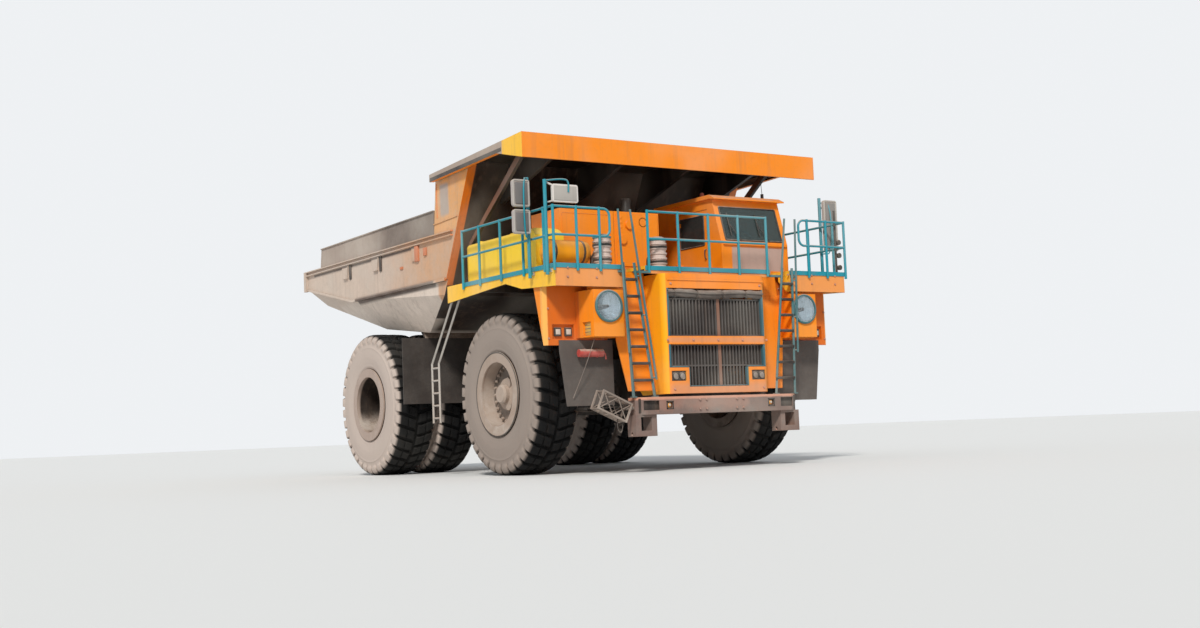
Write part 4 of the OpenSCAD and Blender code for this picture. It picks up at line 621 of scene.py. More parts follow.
def painted(name, colour, roughness=0.42, fading=0.5, wear=0.6, radius=0.012, bare=BARE_STEEL,
            on_top=0.75, all_over=0.12, low_down=0.45, low_height=2.6, dust=DUST_COLOUR,
            bump=0.12, metallic=0.0, specular=0.3, zones=(), marked=None):
    """A weathered finish: colour with its zones, then fading, worn edges and dust, with the
    grain as a fine bump. marked is a mesh attribute's name and the colour that it brings in."""
    material = bpy.data.materials.new(name)
    material.use_nodes = True
    tree = material.node_tree
    net = Net(tree)
    shader = tree.nodes["Principled BSDF"]
    for clean, values in zones:
        made = place_group(net, "zone", Colour=colour, **values)
        colour = made["Colour"]
        if clean:
            kept = net.math("SUBTRACT", 1.0, net.math("MULTIPLY", made["Mask"], clean))
            all_over = net.math("MULTIPLY", all_over, kept)
    if marked:
        mark = net.node("ShaderNodeAttribute", attribute_name=marked[0])
        colour = net.mix(mark.outputs["Fac"], colour, marked[1])
    faded = place_group(net, "fading", Colour=colour, Amount=fading)
    worn = place_group(net, "edge_wear", Colour=faded["Colour"], Bare_Colour=bare, Amount=wear,
                       Radius=radius)
    dusty = place_group(net, "dust", Colour=worn["Colour"], Roughness=roughness,
                        Dust_Colour=dust, On_Top=on_top, All_Over=all_over, Low_Down=low_down,
                        Low_Height=low_height)
    relief = net.node("ShaderNodeBump")
    relief.inputs["Strength"].default_value = bump
    relief.inputs["Distance"].default_value = GRAIN_DEPTH
    net.put(net.math("ADD", faded["Grain"], dusty["Cover"]), relief.inputs["Height"])
    net.put(worn["Normal"], relief.inputs["Normal"])
    net.put(dusty["Colour"], shader.inputs["Base Color"])
    net.put(dusty["Roughness"], shader.inputs["Roughness"])
    net.put(relief.outputs[0], shader.inputs["Normal"])
    shader.inputs["Metallic"].default_value = metallic
    shader.inputs["Specular IOR Level"].default_value = specular
    return material


def glassy(name, colour, transmission, roughness=0.05, film=0.08):
    """Clear or tinted glass under a thin, patchy film of dust."""
    material = bpy.data.materials.new(name)
    material.use_nodes = True
    net = Net(material.node_tree)
    shader = material.node_tree.nodes["Principled BSDF"]
    dusty = place_group(net, "dust", Colour=colour, Roughness=roughness, On_Top=0.3,
                        All_Over=film, Low_Down=0.0)
    net.put(dusty["Colour"], shader.inputs["Base Color"])
    net.put(dusty["Roughness"], shader.inputs["Roughness"])
    shader.inputs["Transmission Weight"].default_value = transmission
    shader.inputs["IOR"].default_value = GLASS_IOR
    return material


# %% [markdown]
# One material can carry a whole plate whose colour changes along it. The radiator's housing is
# salmon where stones hit it, and its side faces are painted yellower, a painted highlight for the
# sun on them. The cab is dusty below its windscreen. The mirrors are one node, so zones give
# their arms, shells and rims a colour each.

# %% Paints of the front and the cab
ORANGE = srgb(250, 140, 6)
SALMON = srgb(226, 146, 92)
YELLOW = srgb(255, 196, 40)
TEAL = srgb(0, 140, 158)
TAN = srgb(214, 152, 96)
# Painted shade: near black for faces that look down, under the deck and the canopy.
PAINTED_UNDERSIDE_SHADE = srgb(22, 15, 12)
OUTWARD, FORWARD, EARTHWARD = (1, 0, 0), (0, -1, 0), (0, 0, -1)
FRESH = dict(all_over=0.02, on_top=0.4, fading=0.3)
finishes = {
    "orange": painted("orange_paint", ORANGE, low_down=0.12, **FRESH, zones=[
        # Painted shade: the fenders' fronts are darker for the shadow on them.
        zone(srgb(220, 106, 8), x=(1.95, 3.4), y=(-5.2, -4.98), z=(2.2, 3.66), Soft=0.02),
        zone(srgb(250, 176, 84), x=(3.23, 3.4), y=(-5.2, -4.98), z=(2.2, 3.7), Soft=0.02),
        zone(srgb(246, 150, 52), x=(1.94, 2.60), y=(-5.7, -5.58), z=(2.3, 2.66), Soft=0.04),
    ]),
    "housing": painted("housing_paint", ORANGE, low_down=0.12, **FRESH, zones=[
        zone(SALMON, x=(-FAR, 1.12), y=(-FAR, -5.7), z=(1.2, 1.56), Soft=0.12, Ragged=0.05),
        zone(SALMON, x=(-FAR, 1.12), y=(-FAR, -5.7), z=(2.3, 2.40), Soft=0.05),
        # Painted highlight: faces that look sideways are yellower for the sun on them.
        zone(srgb(255, 176, 12), Facing=OUTWARD, Facing_Least=0.6),
    ]),
    "cab": painted("cab_paint", ORANGE, low_down=0.0, **FRESH, zones=[
        zone(srgb(190, 160, 148), x=(1.05, 2.32), y=(-FAR, -4.96), z=(3.76, 4.21), Soft=0.03,
             Ragged=0.04, Facing=FORWARD, Facing_Least=0.6),
    ]),
    "cleaner": painted("cleaner_shell", srgb(214, 192, 182), all_over=0.1, low_down=0.0, zones=[
        # Painted shade: the drums' rear half is darker for the shade on that side.
        zone(srgb(150, 132, 124), y=(-5.33, FAR), Soft=0.06),
    ]),
    "mirror_set": painted("mirror_shells", srgb(176, 168, 164), all_over=0.06, low_down=0.0,
                          wear=0.2, zones=[
        zone(srgb(224, 218, 212), x=(-FAR, 3.37), y=(-FAR, -5.4), Soft=0.01),
        zone(TEAL, x=(3.39, 3.66), y=(-4.943, FAR), Soft=0.003),
        zone(TEAL, x=(3.39, 3.48), y=(-5.54, -5.45), Soft=0.003),
    ]),
    "yellow": painted("yellow_paint", srgb(255, 212, 48), all_over=0.01, on_top=0.25,
                      low_down=0.0, fading=0.3, zones=[
        zone(srgb(255, 166, 8), y=(-FAR, -4.64), Soft=0.01),
    ]),
    "deck": painted("deck_paint", YELLOW, all_over=0.04, on_top=0.7, low_down=0.0,
                    fading=0.4, zones=[
        zone(srgb(238, 152, 78), Facing=FORWARD, Facing_Least=0.7),
        # Painted shade: the deck's undersides are dark for the shade under it.
        zone(PAINTED_UNDERSIDE_SHADE, Facing=EARTHWARD, Facing_Least=0.5),
    ]),
    "teal": painted("teal_paint", TEAL, wear=0.4, radius=0.004, all_over=0.03, low_down=0.15),
}
print("finishes so far:", len(finishes))

# %% [markdown]
# The dump body turns from orange at the front to the colour of the ground along its side.
# Painted shadow lines run below its ledges, its lower side panel is painted paler for the light
# on it, and its front wall, under the canopy, is painted nearly black for the shade there. The
# canopy is orange in front, yellow on its end plates, grey with dust further back, and painted
# dark below for the shade under it. Every one of these is a zone, with the direction that its
# faces look.

# %% Paints of the dump body and canopy
# Painted shade and shadow: the front wall's shade under the canopy, and the lines below the ledges.
PAINTED_FRONT_SHADE = srgb(32, 18, 11)
PAINTED_LEDGE_SHADOW = srgb(84, 66, 56)
finishes |= {
    "body": painted("dusty_body", srgb(214, 194, 178), on_top=0.5, all_over=0.34, low_down=0.0,
                    fading=0.7, zones=[
        zone(TAN, y=(-FAR, 0.3), Soft=2.2, Ragged=0.9),
        # Painted light: the lower side panel, which slopes in and down, is paler for the light on
        # it.
        zone(srgb(238, 222, 208), x=(1.5, FAR), y=(-1.0, 4.6), z=(-FAR, 3.86), Soft=0.1,
             Ragged=0.1, Facing=(0.5, 0, -0.8), Facing_Least=0.3),
        # Painted shadow: dark lines below the bend ledge and below the rim.
        zone(PAINTED_LEDGE_SHADOW, x=(2.9, FAR), y=(-0.9, 2.95), z=(3.765, 3.90), Soft=0.06,
             Facing=EARTHWARD, Facing_Least=0.0, clean=0.6),
        zone(PAINTED_LEDGE_SHADOW, x=(3.2, FAR), y=(-0.2, 5.3), z=(4.635, 4.688), Soft=0.02,
             Facing=OUTWARD, Facing_Least=0.6, clean=0.6),
        zone(srgb(242, 166, 74), x=(3.2, FAR), y=(-FAR, -0.9), z=(4.81, FAR), Soft=0.03,
             Ragged=0.05),
        zone(srgb(176, 160, 150), x=(3.2, FAR), y=(-1.62, -1.27), z=(5.14, 5.76), Soft=0.07,
             Ragged=0.10, Facing=OUTWARD, Facing_Least=0.6),
        # Painted shade: the front wall and the floor's front, under the canopy and the deck, are
        # dark for the shade there.
        zone(PAINTED_FRONT_SHADE, x=(-FAR, 2.8), y=(-FAR, 0.4), Soft=0.3, Facing=(0, -0.5, -0.87),
             Facing_Least=0.7, clean=0.9),
        zone(PAINTED_FRONT_SHADE, y=(-FAR, -0.25), z=(-FAR, 3.9), Soft=0.02, Facing=(0, -0.6, -0.8),
             Facing_Least=0.65, clean=0.9),
        zone(PAINTED_FRONT_SHADE, y=(-FAR, -0.5), Soft=0.02, Facing=(0, -0.9, -0.3), Facing_Least=0.4,
             clean=0.95),
        zone(srgb(236, 122, 20), x=(3.13, FAR), y=(-FAR, -0.6), z=(3.75, FAR), Soft=0.02,
             Facing=FORWARD, Facing_Least=0.4),
    ]),
    "spill": painted("spill_steel", srgb(164, 148, 136), all_over=0.2, low_down=0.0, fading=0.8,
                     zones=[zone(srgb(104, 92, 84), y=(-FAR, 1.7), Soft=1.2, Ragged=0.9)]),
    "canopy": painted("canopy_paint", ORANGE, all_over=0.05, on_top=0.6, low_down=0.0,
                      fading=0.4, zones=[
        zone(srgb(168, 150, 136), x=(3.2, FAR), y=(-4.05, FAR), z=(5.0, FAR), Soft=0.02,
             Ragged=0.03),
        zone(srgb(158, 140, 127), y=(-4.45, FAR), z=(5.9, FAR), Soft=0.35, Ragged=0.5,
             Facing=UPWARD, Facing_Least=0.6),
        zone(YELLOW, x=(3.4, FAR), y=(-FAR, -4.05), z=(5.0, FAR), Soft=0.03, Facing=OUTWARD,
             Facing_Least=0.5),
        # Painted shade: the canopy's undersides are dark for the shade under it.
        zone(PAINTED_UNDERSIDE_SHADE, x=(-FAR, 3.39), y=(-4.72, FAR), Soft=0.01, Facing=EARTHWARD,
             Facing_Least=-0.5, clean=0.9),
        # Painted shade: the orange under the canopy's front edge, darkened for the shade there.
        zone(srgb(92, 44, 18), x=(-FAR, 3.39), y=(-4.80, -4.42), Soft=0.2, Facing=EARTHWARD,
             Facing_Least=0.4),
        zone(srgb(120, 78, 56), x=(2.86, 2.97), y=(-4.6, FAR), z=(-FAR, 5.9), Soft=0.01,
             Facing=OUTWARD, Facing_Least=0.5),
    ]),
}
print("finishes so far:", len(finishes))

# %% [markdown]
# The chassis is bare or dark steel, and what stands low in front takes the colour of the road.
# Bars and strips are thin, so their worn edges get a small radius. The bumper has dust of its
# own, redder colour, and a browner patch spreads over its right half.

# %% Steel and small painted parts
finishes |= {
    "dark": painted("dark_frame", srgb(24, 22, 21), all_over=0.04, low_down=0.1),
    "grille": painted("grille_steel", srgb(56, 54, 55), all_over=0.06, on_top=0.2, low_down=0.1,
                      wear=0.3, radius=0.003, zones=[
        zone(srgb(128, 88, 70), x=(0.06, 0.13), Soft=0.006, Both_Sides=0.0),
        zone(srgb(34, 34, 36), y=(-5.64, FAR), Soft=0.01),
    ]),
    "grey": painted("grey_metal", srgb(120, 112, 106), roughness=0.5),
    "bumper": painted("bumper_steel", srgb(98, 88, 84), roughness=0.6, all_over=0.08, on_top=1.0,
                      low_down=0.08, dust=srgb(226, 160, 134), zones=[
        zone(srgb(134, 104, 93), x=(-1.55, 0.62), z=(1.10, FAR), Soft=0.10, Ragged=0.35,
             Both_Sides=0.0),
        zone(srgb(206, 146, 120), z=(1.285, FAR), Soft=0.02, Ragged=0.04),
    ]),
    "ladder": painted("ladder_paint", srgb(26, 104, 112), wear=0.6, radius=0.004, all_over=0.14,
                      low_down=0.2),
    "strip": painted("strip_paint", srgb(0, 92, 108), wear=0.3, radius=0.004, all_over=0.04,
                     low_down=0.1),
    "ring": painted("lamp_ring", srgb(44, 106, 112), wear=0.3, radius=0.004, all_over=0.08,
                    low_down=0.1),
    "bracket": painted("bracket_paint", srgb(206, 104, 40), all_over=0.12, low_down=0.0),
    "mirror_back": painted("mirror_back", srgb(108, 106, 106), roughness=0.22, all_over=0.05,
                           low_down=0.0, wear=0.1),
    # Painted shade: the door pane is an opaque dark sheet; its colour is the shaded cab seen
    # through the glass, and its gloss is the glass's own.
    "pane": painted("side_pane", srgb(34, 40, 42), roughness=0.06, wear=0.0, all_over=0.04,
                    on_top=0.1, low_down=0.0, fading=0.0, bump=0.0, specular=0.5),
    "rod": painted("machined_rod", srgb(190, 190, 190), roughness=0.2, metallic=1.0, on_top=0.1,
                   all_over=0.05),
}
print("finishes so far:", len(finishes))

# %% [markdown]
# Tyre rubber is nearly black in the tread and pale with dust on its walls; the rear walls are
# painted paler still, a painted light for the sun on them. No box of space can tell a round tread
# from its walls, so each tyre's mesh carries an attribute, and the finish reads it. The rims are
# painted dark in their deep dish, a painted shade, and the mudflaps are rubber sheet.

# %% Rubber and rims


def tyre_rubber(name, wall_colour):
    """Black rubber, with the walls' colour where the attribute wall says so: dust, and on the
    rear tyres painted sunlight on top of it.
    """
    return painted(name, srgb(12, 12, 13), roughness=0.85, wear=0.0, on_top=0.0, all_over=0.0,
                   low_down=0.0, fading=0.1, bump=0.5, marked=("wall", wall_colour))


finishes |= {
    "rubber": tyre_rubber("tyre_rubber", srgb(150, 137, 128)),
    # Painted light: the rear walls are paler than the front ones for the sun on them, over the same
    # dust.
    "rear_rubber_dust_and_sun": tyre_rubber("rear_tyre_rubber_dust_and_sun", srgb(190, 175, 165)),
    "flap": painted("flap_rubber", srgb(48, 45, 44), roughness=0.75, wear=0.1, all_over=0.06,
                    low_down=0.04, fading=0.1,
                    zones=[zone(srgb(82, 77, 74), y=(-FAR, -4), Soft=0.1)]),
    "rim": painted("rim_paint", srgb(156, 136, 122), all_over=0.3, wear=0.3,
                   bare=(0.05, 0.03, 0.025), zones=[
        # Painted shade: dark inside the deep dish, for the shade there.
        zone(srgb(58, 42, 36), x=(-FAR, 2.80), Soft=0.02, clean=0.85),
        zone(srgb(110, 76, 64), x=(3.03, 3.045), Soft=0.01),
    ]),
    "rear_rim": painted("rear_rim_paint", srgb(170, 150, 138), all_over=0.12, wear=0.3,
                        low_down=0.06, zones=[
        # Painted shade: dark inside the deep dish, for the shade there.
        zone(srgb(26, 19, 17), x=(-FAR, 3.24), Soft=0.04, clean=0.85),
    ]),
    "red": painted("red_paint", srgb(190, 44, 40), wear=0.3),
    "cover": painted("roll_cover", srgb(72, 66, 64), roughness=0.9, wear=0.0, on_top=0.35,
                     all_over=0.12, bump=0.4),
}
print("finishes so far:", len(finishes))

# %% [markdown]
# Glass, mirrors and lamp lenses are clean beside the rest of the truck: no bare edges, little
# dust. Only the headlamps and the cab's panes let light through. The small lenses are thick and
# dusty, so a smooth paint looks the same and renders faster.

# %% Glass, lenses and trim
UNWORN = dict(wear=0.0, fading=0.0, low_down=0.0, bump=0.0)
finishes |= {
    "lens": glassy("lens_glass", srgb(232, 240, 244), transmission=0.92, roughness=0.04,
                   film=0.04),
    "window": glassy("window_glass", srgb(96, 128, 128), transmission=0.86, roughness=0.05),
    "mirror": painted("mirror_silver", srgb(214, 218, 218), roughness=0.06, metallic=1.0,
                      on_top=0.1, all_over=0.04, **UNWORN),
    # The cab's dark trim; the same finish also paints the shadow plates and strips on the dump
    # body.
    "trim": painted("dark_trim_and_painted_shadow", srgb(44, 44, 46), roughness=0.6, all_over=0.1, low_down=0.0),
    "gasket": painted("black_rubber", srgb(26, 26, 27), roughness=0.6, all_over=0.08,
                      low_down=0.0, wear=0.1),
    "rail": painted("rail_grey", srgb(176, 172, 166), wear=0.4, radius=0.004),
    "chrome": painted("lamp_reflector", srgb(222, 228, 232), roughness=0.14, metallic=1.0,
                      on_top=0.0, all_over=0.0, **UNWORN),
    "amber": painted("amber_lens", srgb(246, 170, 64), roughness=0.25, wear=0.0, fading=0.2,
                     all_over=0.04, low_down=0.0),
    "side_lens": painted("side_lamp_lens", srgb(214, 178, 78), roughness=0.3, wear=0.1,
                         fading=0.4, all_over=0.15, low_down=0.0),
    "beacon": painted("beacon_lens", srgb(176, 62, 40), roughness=0.3, wear=0.0, all_over=0.1,
                      low_down=0.0),
    "pale_lens": painted("pale_lens", srgb(206, 196, 184), roughness=0.25, wear=0.0, fading=0.2,
                         all_over=0.1, low_down=0.0),
}
print("finishes in all:", len(finishes))

# %% [markdown]
# The nodes of the frame get their finishes from one table. Left and right share a finish, and
# so do all the plates that are welded and painted together on the real truck.

# %% A finish for every node
FINISH_OF = {
    "teal": "railings",
    "ladder": "front_ladders",
    "deck": "decks",
    "yellow": "deck_tanks",
    "body": "body_floor body_sides body_front_wall body_beams",
    "spill": "spill_boards",
    "canopy": "canopy",
    "housing": "radiator_housing",
    "orange": "headlamp_pods front_fenders control_cabinets ladder_panels",
    "cab": "cab_shell cab_door_right cab_door_left",
    "cleaner": "air_cleaners",
    "mirror_set": "mirrors",
    "dark": "frame_rails front_axle_beam rear_axle_housing engine_block"
            " knuckle_right knuckle_left tie_rod",
    "grille": "grille",
    "bumper": "bumper",
    "grey": "suspension_struts fuel_tank hoist_barrel_right hoist_barrel_left"
            " hoist_stage_right hoist_stage_left folded_steps",
    "rod": "hoist_rod_right hoist_rod_left",
    "rubber": "front_tyre_right front_tyre_left",
    "rear_rubber_dust_and_sun": "rear_tyres_right rear_tyres_left",
    "rim": "front_rim_right front_rim_left",
    "rear_rim": "rear_rims_right rear_rims_left",
    "flap": "front_mudflaps rear_mudflaps",
    "red": "front_canister",
    "cover": "cover_roll",
    "pale_lens": "lamps",
    "window": "cab_glass",
    "trim": "cab_interior",
    "rail": "side_ladder",
}
for finish, names in FINISH_OF.items():
    for name in names.split():
        nodes[name].data.materials.clear()
        nodes[name].data.materials.append(finishes[finish])
finished = set(" ".join(FINISH_OF.values()).split())
print("nodes without a finish:", sorted(set(nodes) - finished))

# %% [markdown]
# A tyre is one closed grid. Its section runs from bead to bead over the tread, and is carried
# round the axle. The lugs come from the grid too: its lines are slanted along the lugs, so each
# lug's wall lies between two lines of the grid and stays crisp. Lugs of the two halves are
# staggered, and each is notched in the middle into two blocks.

# %% Section of a tyre
AXLE_Z = 1.53
LUGS = 36
LUG_DEPTH = 0.07
LARGEST_RADIUS, LARGEST_HALF_WIDTH = 1.5299, 0.4695
SECTION_STEPS = 62
SHOULDER_RADIUS = 1.30
NOTCH_OUT = 0.207
NOTCH_EDGES = [0.185, 0.198, 0.216, 0.229]
# Half of the section, from the middle of the tread to the bead: distance out, radius
HALF_SECTION = np.array([
    (0, 1.460), (0.10, 1.460), (0.20, 1.459), (0.30, 1.456), (0.355, 1.445), (0.395, 1.415),
    (0.420, 1.365), (0.437, 1.31), (0.452, 1.25), (0.464, 1.16), (0.4685, 1.07), (0.463, 0.97),
    (0.448, 0.88), (0.434, 0.82), (0.424, 0.795), (0.405, 0.770), (0.38, 0.73), (0.362, 0.652)])
# Across one pitch of lugs: share of the pitch, share of the lug's height
LUG_STEPS = np.array([
    (0, 0), (0.04, 0.86), (0.06, 1), (0.37, 1), (0.68, 1), (0.70, 0.86), (0.74, 0), (0.87, 0)])
# Rings moulded on the wall: radius, height, width
WALL_RINGS = [(1.235, 0.010, 0.012), (0.845, 0.009, 0.012), (1.02, 0.004, 0.008)]


def half_section():
    """The softened half section at even steps, with lines at the notch: distance out, radius,
    and both parts of the outward normal."""
    line = softened(HALF_SECTION)
    at = walked(line)
    even = np.linspace(0, at[-1], SECTION_STEPS)
    even = np.unique(np.concatenate([even, np.interp(NOTCH_EDGES, line[:, 0], at)]))
    half = np.column_stack([np.interp(even, at, line[:, k]) for k in (0, 1)])
    step = np.gradient(half, axis=0)
    step /= np.linalg.norm(step, axis=1, keepdims=True)
    return half[:, 0], half[:, 1], -step[:, 1], step[:, 0]


def lug_crest(out, radius):
    """Share of a lug's full height: none in the middle groove, half in the notch, and falling off
    over the shoulder."""
    shoulder = np.clip((radius - SHOULDER_RADIUS) / 0.06, 0, 1)
    crest = np.where(out < 0.02, 0, np.where(out < 0.04, 0.9, 1)) * shoulder
    crest *= 1 - 0.5 * np.exp(-((out - NOTCH_OUT) / 0.014) ** 4)
    crest *= np.interp(radius, [SHOULDER_RADIUS, 1.37, 1.42, 1.45], [0.25, 0.66, 0.8, 1])
    return crest


print("points of the half section:", len(half_section()[0]))

# %% [markdown]
# Front tyres stand alone, and rear ones in pairs that turn together. Each replaces its plain
# solid from the frame. The walls are dusty, the rear ones also painted sunlit, and the tread is
# not, and the distance out from each tyre's middle tells them apart. So every point carries a
# number that the finish reads.

# %% Tyres
FRONT_AXLE_Y, REAR_AXLE_Y = -2.895, 2.405
FRONT_TRACK, REAR_TRACK, TWIN_PITCH = 2.61, 2.85, 1.02
HALF_LUG_LENGTH = 0.45
TYRE_SMOOTH_ANGLE = 38


def both_halves(values, sign=1):
    """A half section's values from bead to bead; sign turns those of the other half."""
    return np.concatenate([sign * values[:0:-1], values])


def tyre(middle_x, axle_y):
    """The section plus its outward normal times the lug's height, which is the crest's share
    times the step's share times the depth."""
    out, radius, normal_out, normal_up = half_section()
    rings = sum(height * np.exp(-((radius - place) / width) ** 2)
                for place, height, width in WALL_RINGS)
    crest, rings = both_halves(lug_crest(out, radius)), both_halves(rings)
    out, radius = both_halves(out, -1), both_halves(radius)
    normal_out, normal_up = both_halves(normal_out, -1), both_halves(normal_up)
    pitch = 2 * np.pi / LUGS
    slant = pitch * (0.25 * np.clip(out / 0.03, -1, 1) + 0.55 * np.abs(out) / HALF_LUG_LENGTH)
    phases = (np.arange(LUGS)[:, None] + LUG_STEPS[None, :, 0]).ravel() * pitch
    heights = np.tile(LUG_STEPS[:, 1], LUGS)
    lift = crest[:, None] * heights[None] * LUG_DEPTH + rings[:, None]
    angle = phases[None] + slant[:, None]
    r = np.minimum(radius[:, None] + normal_up[:, None] * lift, LARGEST_RADIUS)
    x = out[:, None] + normal_out[:, None] * lift
    x = np.clip(x, -LARGEST_HALF_WIDTH, LARGEST_HALF_WIDTH)
    points = np.stack([middle_x + x, axle_y + r * np.sin(angle), AXLE_Z + r * np.cos(angle)], -1)
    return points.reshape(-1, 3), grid_faces(*angle.shape, wrap_rows=True, wrap_columns=True)


def pale_wall_share(place, middles, axle_y):
    """How far a point belongs to a pale wall, from 0 to 1, pale with dust and on the rear tyres
    also
    with painted sunlight: by its distance out from the tyre's middle, and a quarter of that on the
    worn tops of the lugs."""
    out = np.abs(place[:, :1] - np.array(middles)).min(1)
    radius = np.hypot(place[:, 1] - axle_y, place[:, 2] - AXLE_Z)
    return np.clip((out - 0.385) / 0.035, 0, 1) * np.clip((1.505 - radius) / 0.02, 0.25, 1)


def add_tyre(name, node, body, middles, axle_y):
    """The tyres of one wheel set, in place of their plain solids."""
    finish = finishes["rubber" if len(middles) == 1 else "rear_rubber_dust_and_sun"]
    piece = add_mesh(name, joined([tyre(x, axle_y) for x in middles]), finish, body,
                     TYRE_SMOOTH_ANGLE)
    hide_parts(node)
    place = np.zeros(len(piece.data.vertices) * 3)
    piece.data.vertices.foreach_get("co", place)
    wall = piece.data.attributes.new("wall", "FLOAT", "POINT")
    wall.data.foreach_set("value", pale_wall_share(place.reshape(-1, 3), middles, axle_y))


for side_name, sign in (("right", -1), ("left", 1)):
    add_tyre("treaded_front_tyre_" + side_name, "front_tyre_" + side_name,
             "front_wheel_" + side_name, [sign * FRONT_TRACK], FRONT_AXLE_Y)
    add_tyre("treaded_rear_tyres_" + side_name, "rear_tyres_" + side_name,
             "rear_wheels_" + side_name,
             [sign * REAR_TRACK, sign * (REAR_TRACK - TWIN_PITCH)], REAR_AXLE_Y)
tell("tyres")

# %% [markdown]
# Each rim is held by a circle of nuts, and a ring locks the tyre's bead on it. The nuts are the
# one bolt head again, set round the axle, and the ring is a flat profile turned about it. Both
# ride with their wheel, so they turn and steer with it.

# %% Wheel nuts and bead rings
NUTS = 24
NUT_CIRCLE = 0.52
NUT_RADIUS = 0.024
BEAD_PROFILE = [(-0.004, 0.775), (0.006, 0.778), (0.006, 0.798), (-0.004, 0.801)]
# body, Y of the axle, X of the nuts, X of the bead ring
WHEELS = [("front_wheel_", FRONT_AXLE_Y, 2.80, 3.074), ("rear_wheels_", REAR_AXLE_Y, 2.475, 3.254)]
nut_turn = np.arange(NUTS) * 2 * np.pi / NUTS
for side_name, sign in (("right", -1), ("left", 1)):
    for body, y, nut_x, bead_x in WHEELS:
        outward = (sign, 0, 0)
        circle = np.column_stack([np.full(NUTS, sign * nut_x), y + NUT_CIRCLE * np.cos(nut_turn),
                                  AXLE_Z + NUT_CIRCLE * np.sin(nut_turn)])
        add_mesh(f"{body}{side_name}_nuts", bolts(circle, outward, NUT_RADIUS), finishes["rim"],
                 body + side_name)
        bead = revolved(BEAD_PROFILE, (sign * bead_x, y, AXLE_Z), outward, 72)
        add_mesh(f"{body}{side_name}_bead_ring", bead, finishes["gasket"], body + side_name)
tell("wheel nuts and bead rings")

# %% [markdown]
# From here on, most pieces are small and ride on the chassis. One helper joins their shapes,
# gives them a finish by its name and, if asked, adds the mirror image on the other side. Parts
# that look forward, such as lamps, have their own short name for a turned shape.

# %% Helpers for fittings


def fitting(name, finish, *shapes, body="chassis", both_sides=False):
    """A small piece from one or more shapes, in the finish of that name; both_sides adds its
    mirror image on the other side of the truck."""
    shape = joined(shapes)
    return add_mesh(name, mirrored(shape) if both_sides else shape, finishes[finish], body)


def lathe(profile, place, steps=40):
    """A turned part that looks forward: profile points are (distance ahead of place, radius)."""
    return revolved(profile, place, FORWARD, steps)


# %% [markdown]
# The lamps were plain solids in the frame. Each is now built as its maker would: a headlamp has
# a polished bowl, a bulb, a domed glass with flutes, and a ring. Every round part is a profile
# turned once about the lamp's own axis, and the glass has two faces, because light bends at
# both.

# %% Headlamps
HEADLAMP = (2.27, -5.50, 2.96)
DOME_RADIUS, DOME_RISE = 0.252, 0.026
FLUTE_REACH = 0.235


def bowl(depth, radius, steps=14):
    """A parabola: the depth left at a radius falls with its square."""
    r = np.linspace(0, radius, steps)
    return np.column_stack([0.012 + depth * (r / radius) ** 2, r])


def flute(x):
    """An upright bar on the domed glass, x from the lamp's middle."""
    heights = np.linspace(-1, 1, 7) * math.sqrt(FLUTE_REACH ** 2 - x ** 2)
    rise = [DOME_RISE * (1 - (x ** 2 + z ** 2) / DOME_RADIUS ** 2) for z in heights]
    return tube([(HEADLAMP[0] + x, HEADLAMP[1] - 0.1145 - ahead, HEADLAMP[2] + z)
                 for ahead, z in zip(rise, heights)], 0.004, 5)


reflector = np.vstack([[(0, 0)], [(0, 0.256)], [(0.106, 0.256)], bowl(0.09, 0.245)[::-1]])
dome_r = np.linspace(0, DOME_RADIUS, 12)
dome = np.column_stack([0.112 + DOME_RISE * (1 - (dome_r / DOME_RADIUS) ** 2), dome_r])
glass = np.vstack([dome, dome[::-1] - (0.007, 0)])
lamp_ring = [(0.09, 0.257), (0.09, 0.286), (0.128, 0.290), (0.140, 0.276), (0.136, 0.252),
             (0.120, 0.250), (0.106, 0.257)]
bulb = [(0.012, 0), (0.012, 0.034), (0.045, 0.034), (0.05, 0.026), (0.085, 0.026),
        (0.097, 0.016), (0.10, 0)]
headlamps = fitting("headlamp_bowls", "chrome", lathe(reflector, HEADLAMP), both_sides=True)
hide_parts("lamps")
fitting("headlamp_glass", "lens", lathe(glass, HEADLAMP), both_sides=True)
fitting("headlamp_rings", "ring", lathe(lamp_ring, HEADLAMP), both_sides=True)
fitting("headlamp_bulbs", "gasket", lathe(bulb, HEADLAMP, 20), both_sides=True)
fitting("headlamp_flutes", "lens", *[flute(x) for x in np.linspace(-0.2, 0.2, 9)], both_sides=True)
tell("headlamps")

# %% [markdown]
# On the outer side of each headlamp pod sits a side lamp behind three bars, and on the fender's
# front a pair of square lamps. Their cases are pressed boxes with soft edges, and the lens is a
# smaller box that stands a few millimetres out of its case.

# %% Side lamps and square lamps
SQUARE_LAMPS_X = (2.80, 3.02)
side_lens = soft_box((2.551, -5.494, 2.451), (2.572, -5.276, 2.689), 0.006)
side_bars = [soft_box((2.568, -5.492, z), (2.577, -5.278, z + 0.012), 0.003, 1)
             for z in (2.51, 2.57, 2.63)]
fitting("side_lamp_lenses", "side_lens", side_lens, both_sides=True)
fitting("side_lamp_ribs", "grey", *side_bars, both_sides=True)
square_cases = [soft_box((x - 0.073, -5.086, 2.462), (x + 0.073, -5.046, 2.618), 0.008)
                for x in SQUARE_LAMPS_X]
square_lenses = [soft_box((x - 0.048, -5.094, 2.492), (x + 0.048, -5.08, 2.588), 0.006)
                 for x in SQUARE_LAMPS_X]
fitting("square_lamp_bodies", "gasket", *square_cases, both_sides=True)
fitting("square_lamp_lenses", "pale_lens", *square_lenses, both_sides=True)

# %% [markdown]
# Twin fog lamps sit in one case low in the housing, and a round marker lamp near each end of
# the bumper. Three lamps stand on a post at the deck's left corner. They are small, so each has
# only a rim and a lens, both turned.

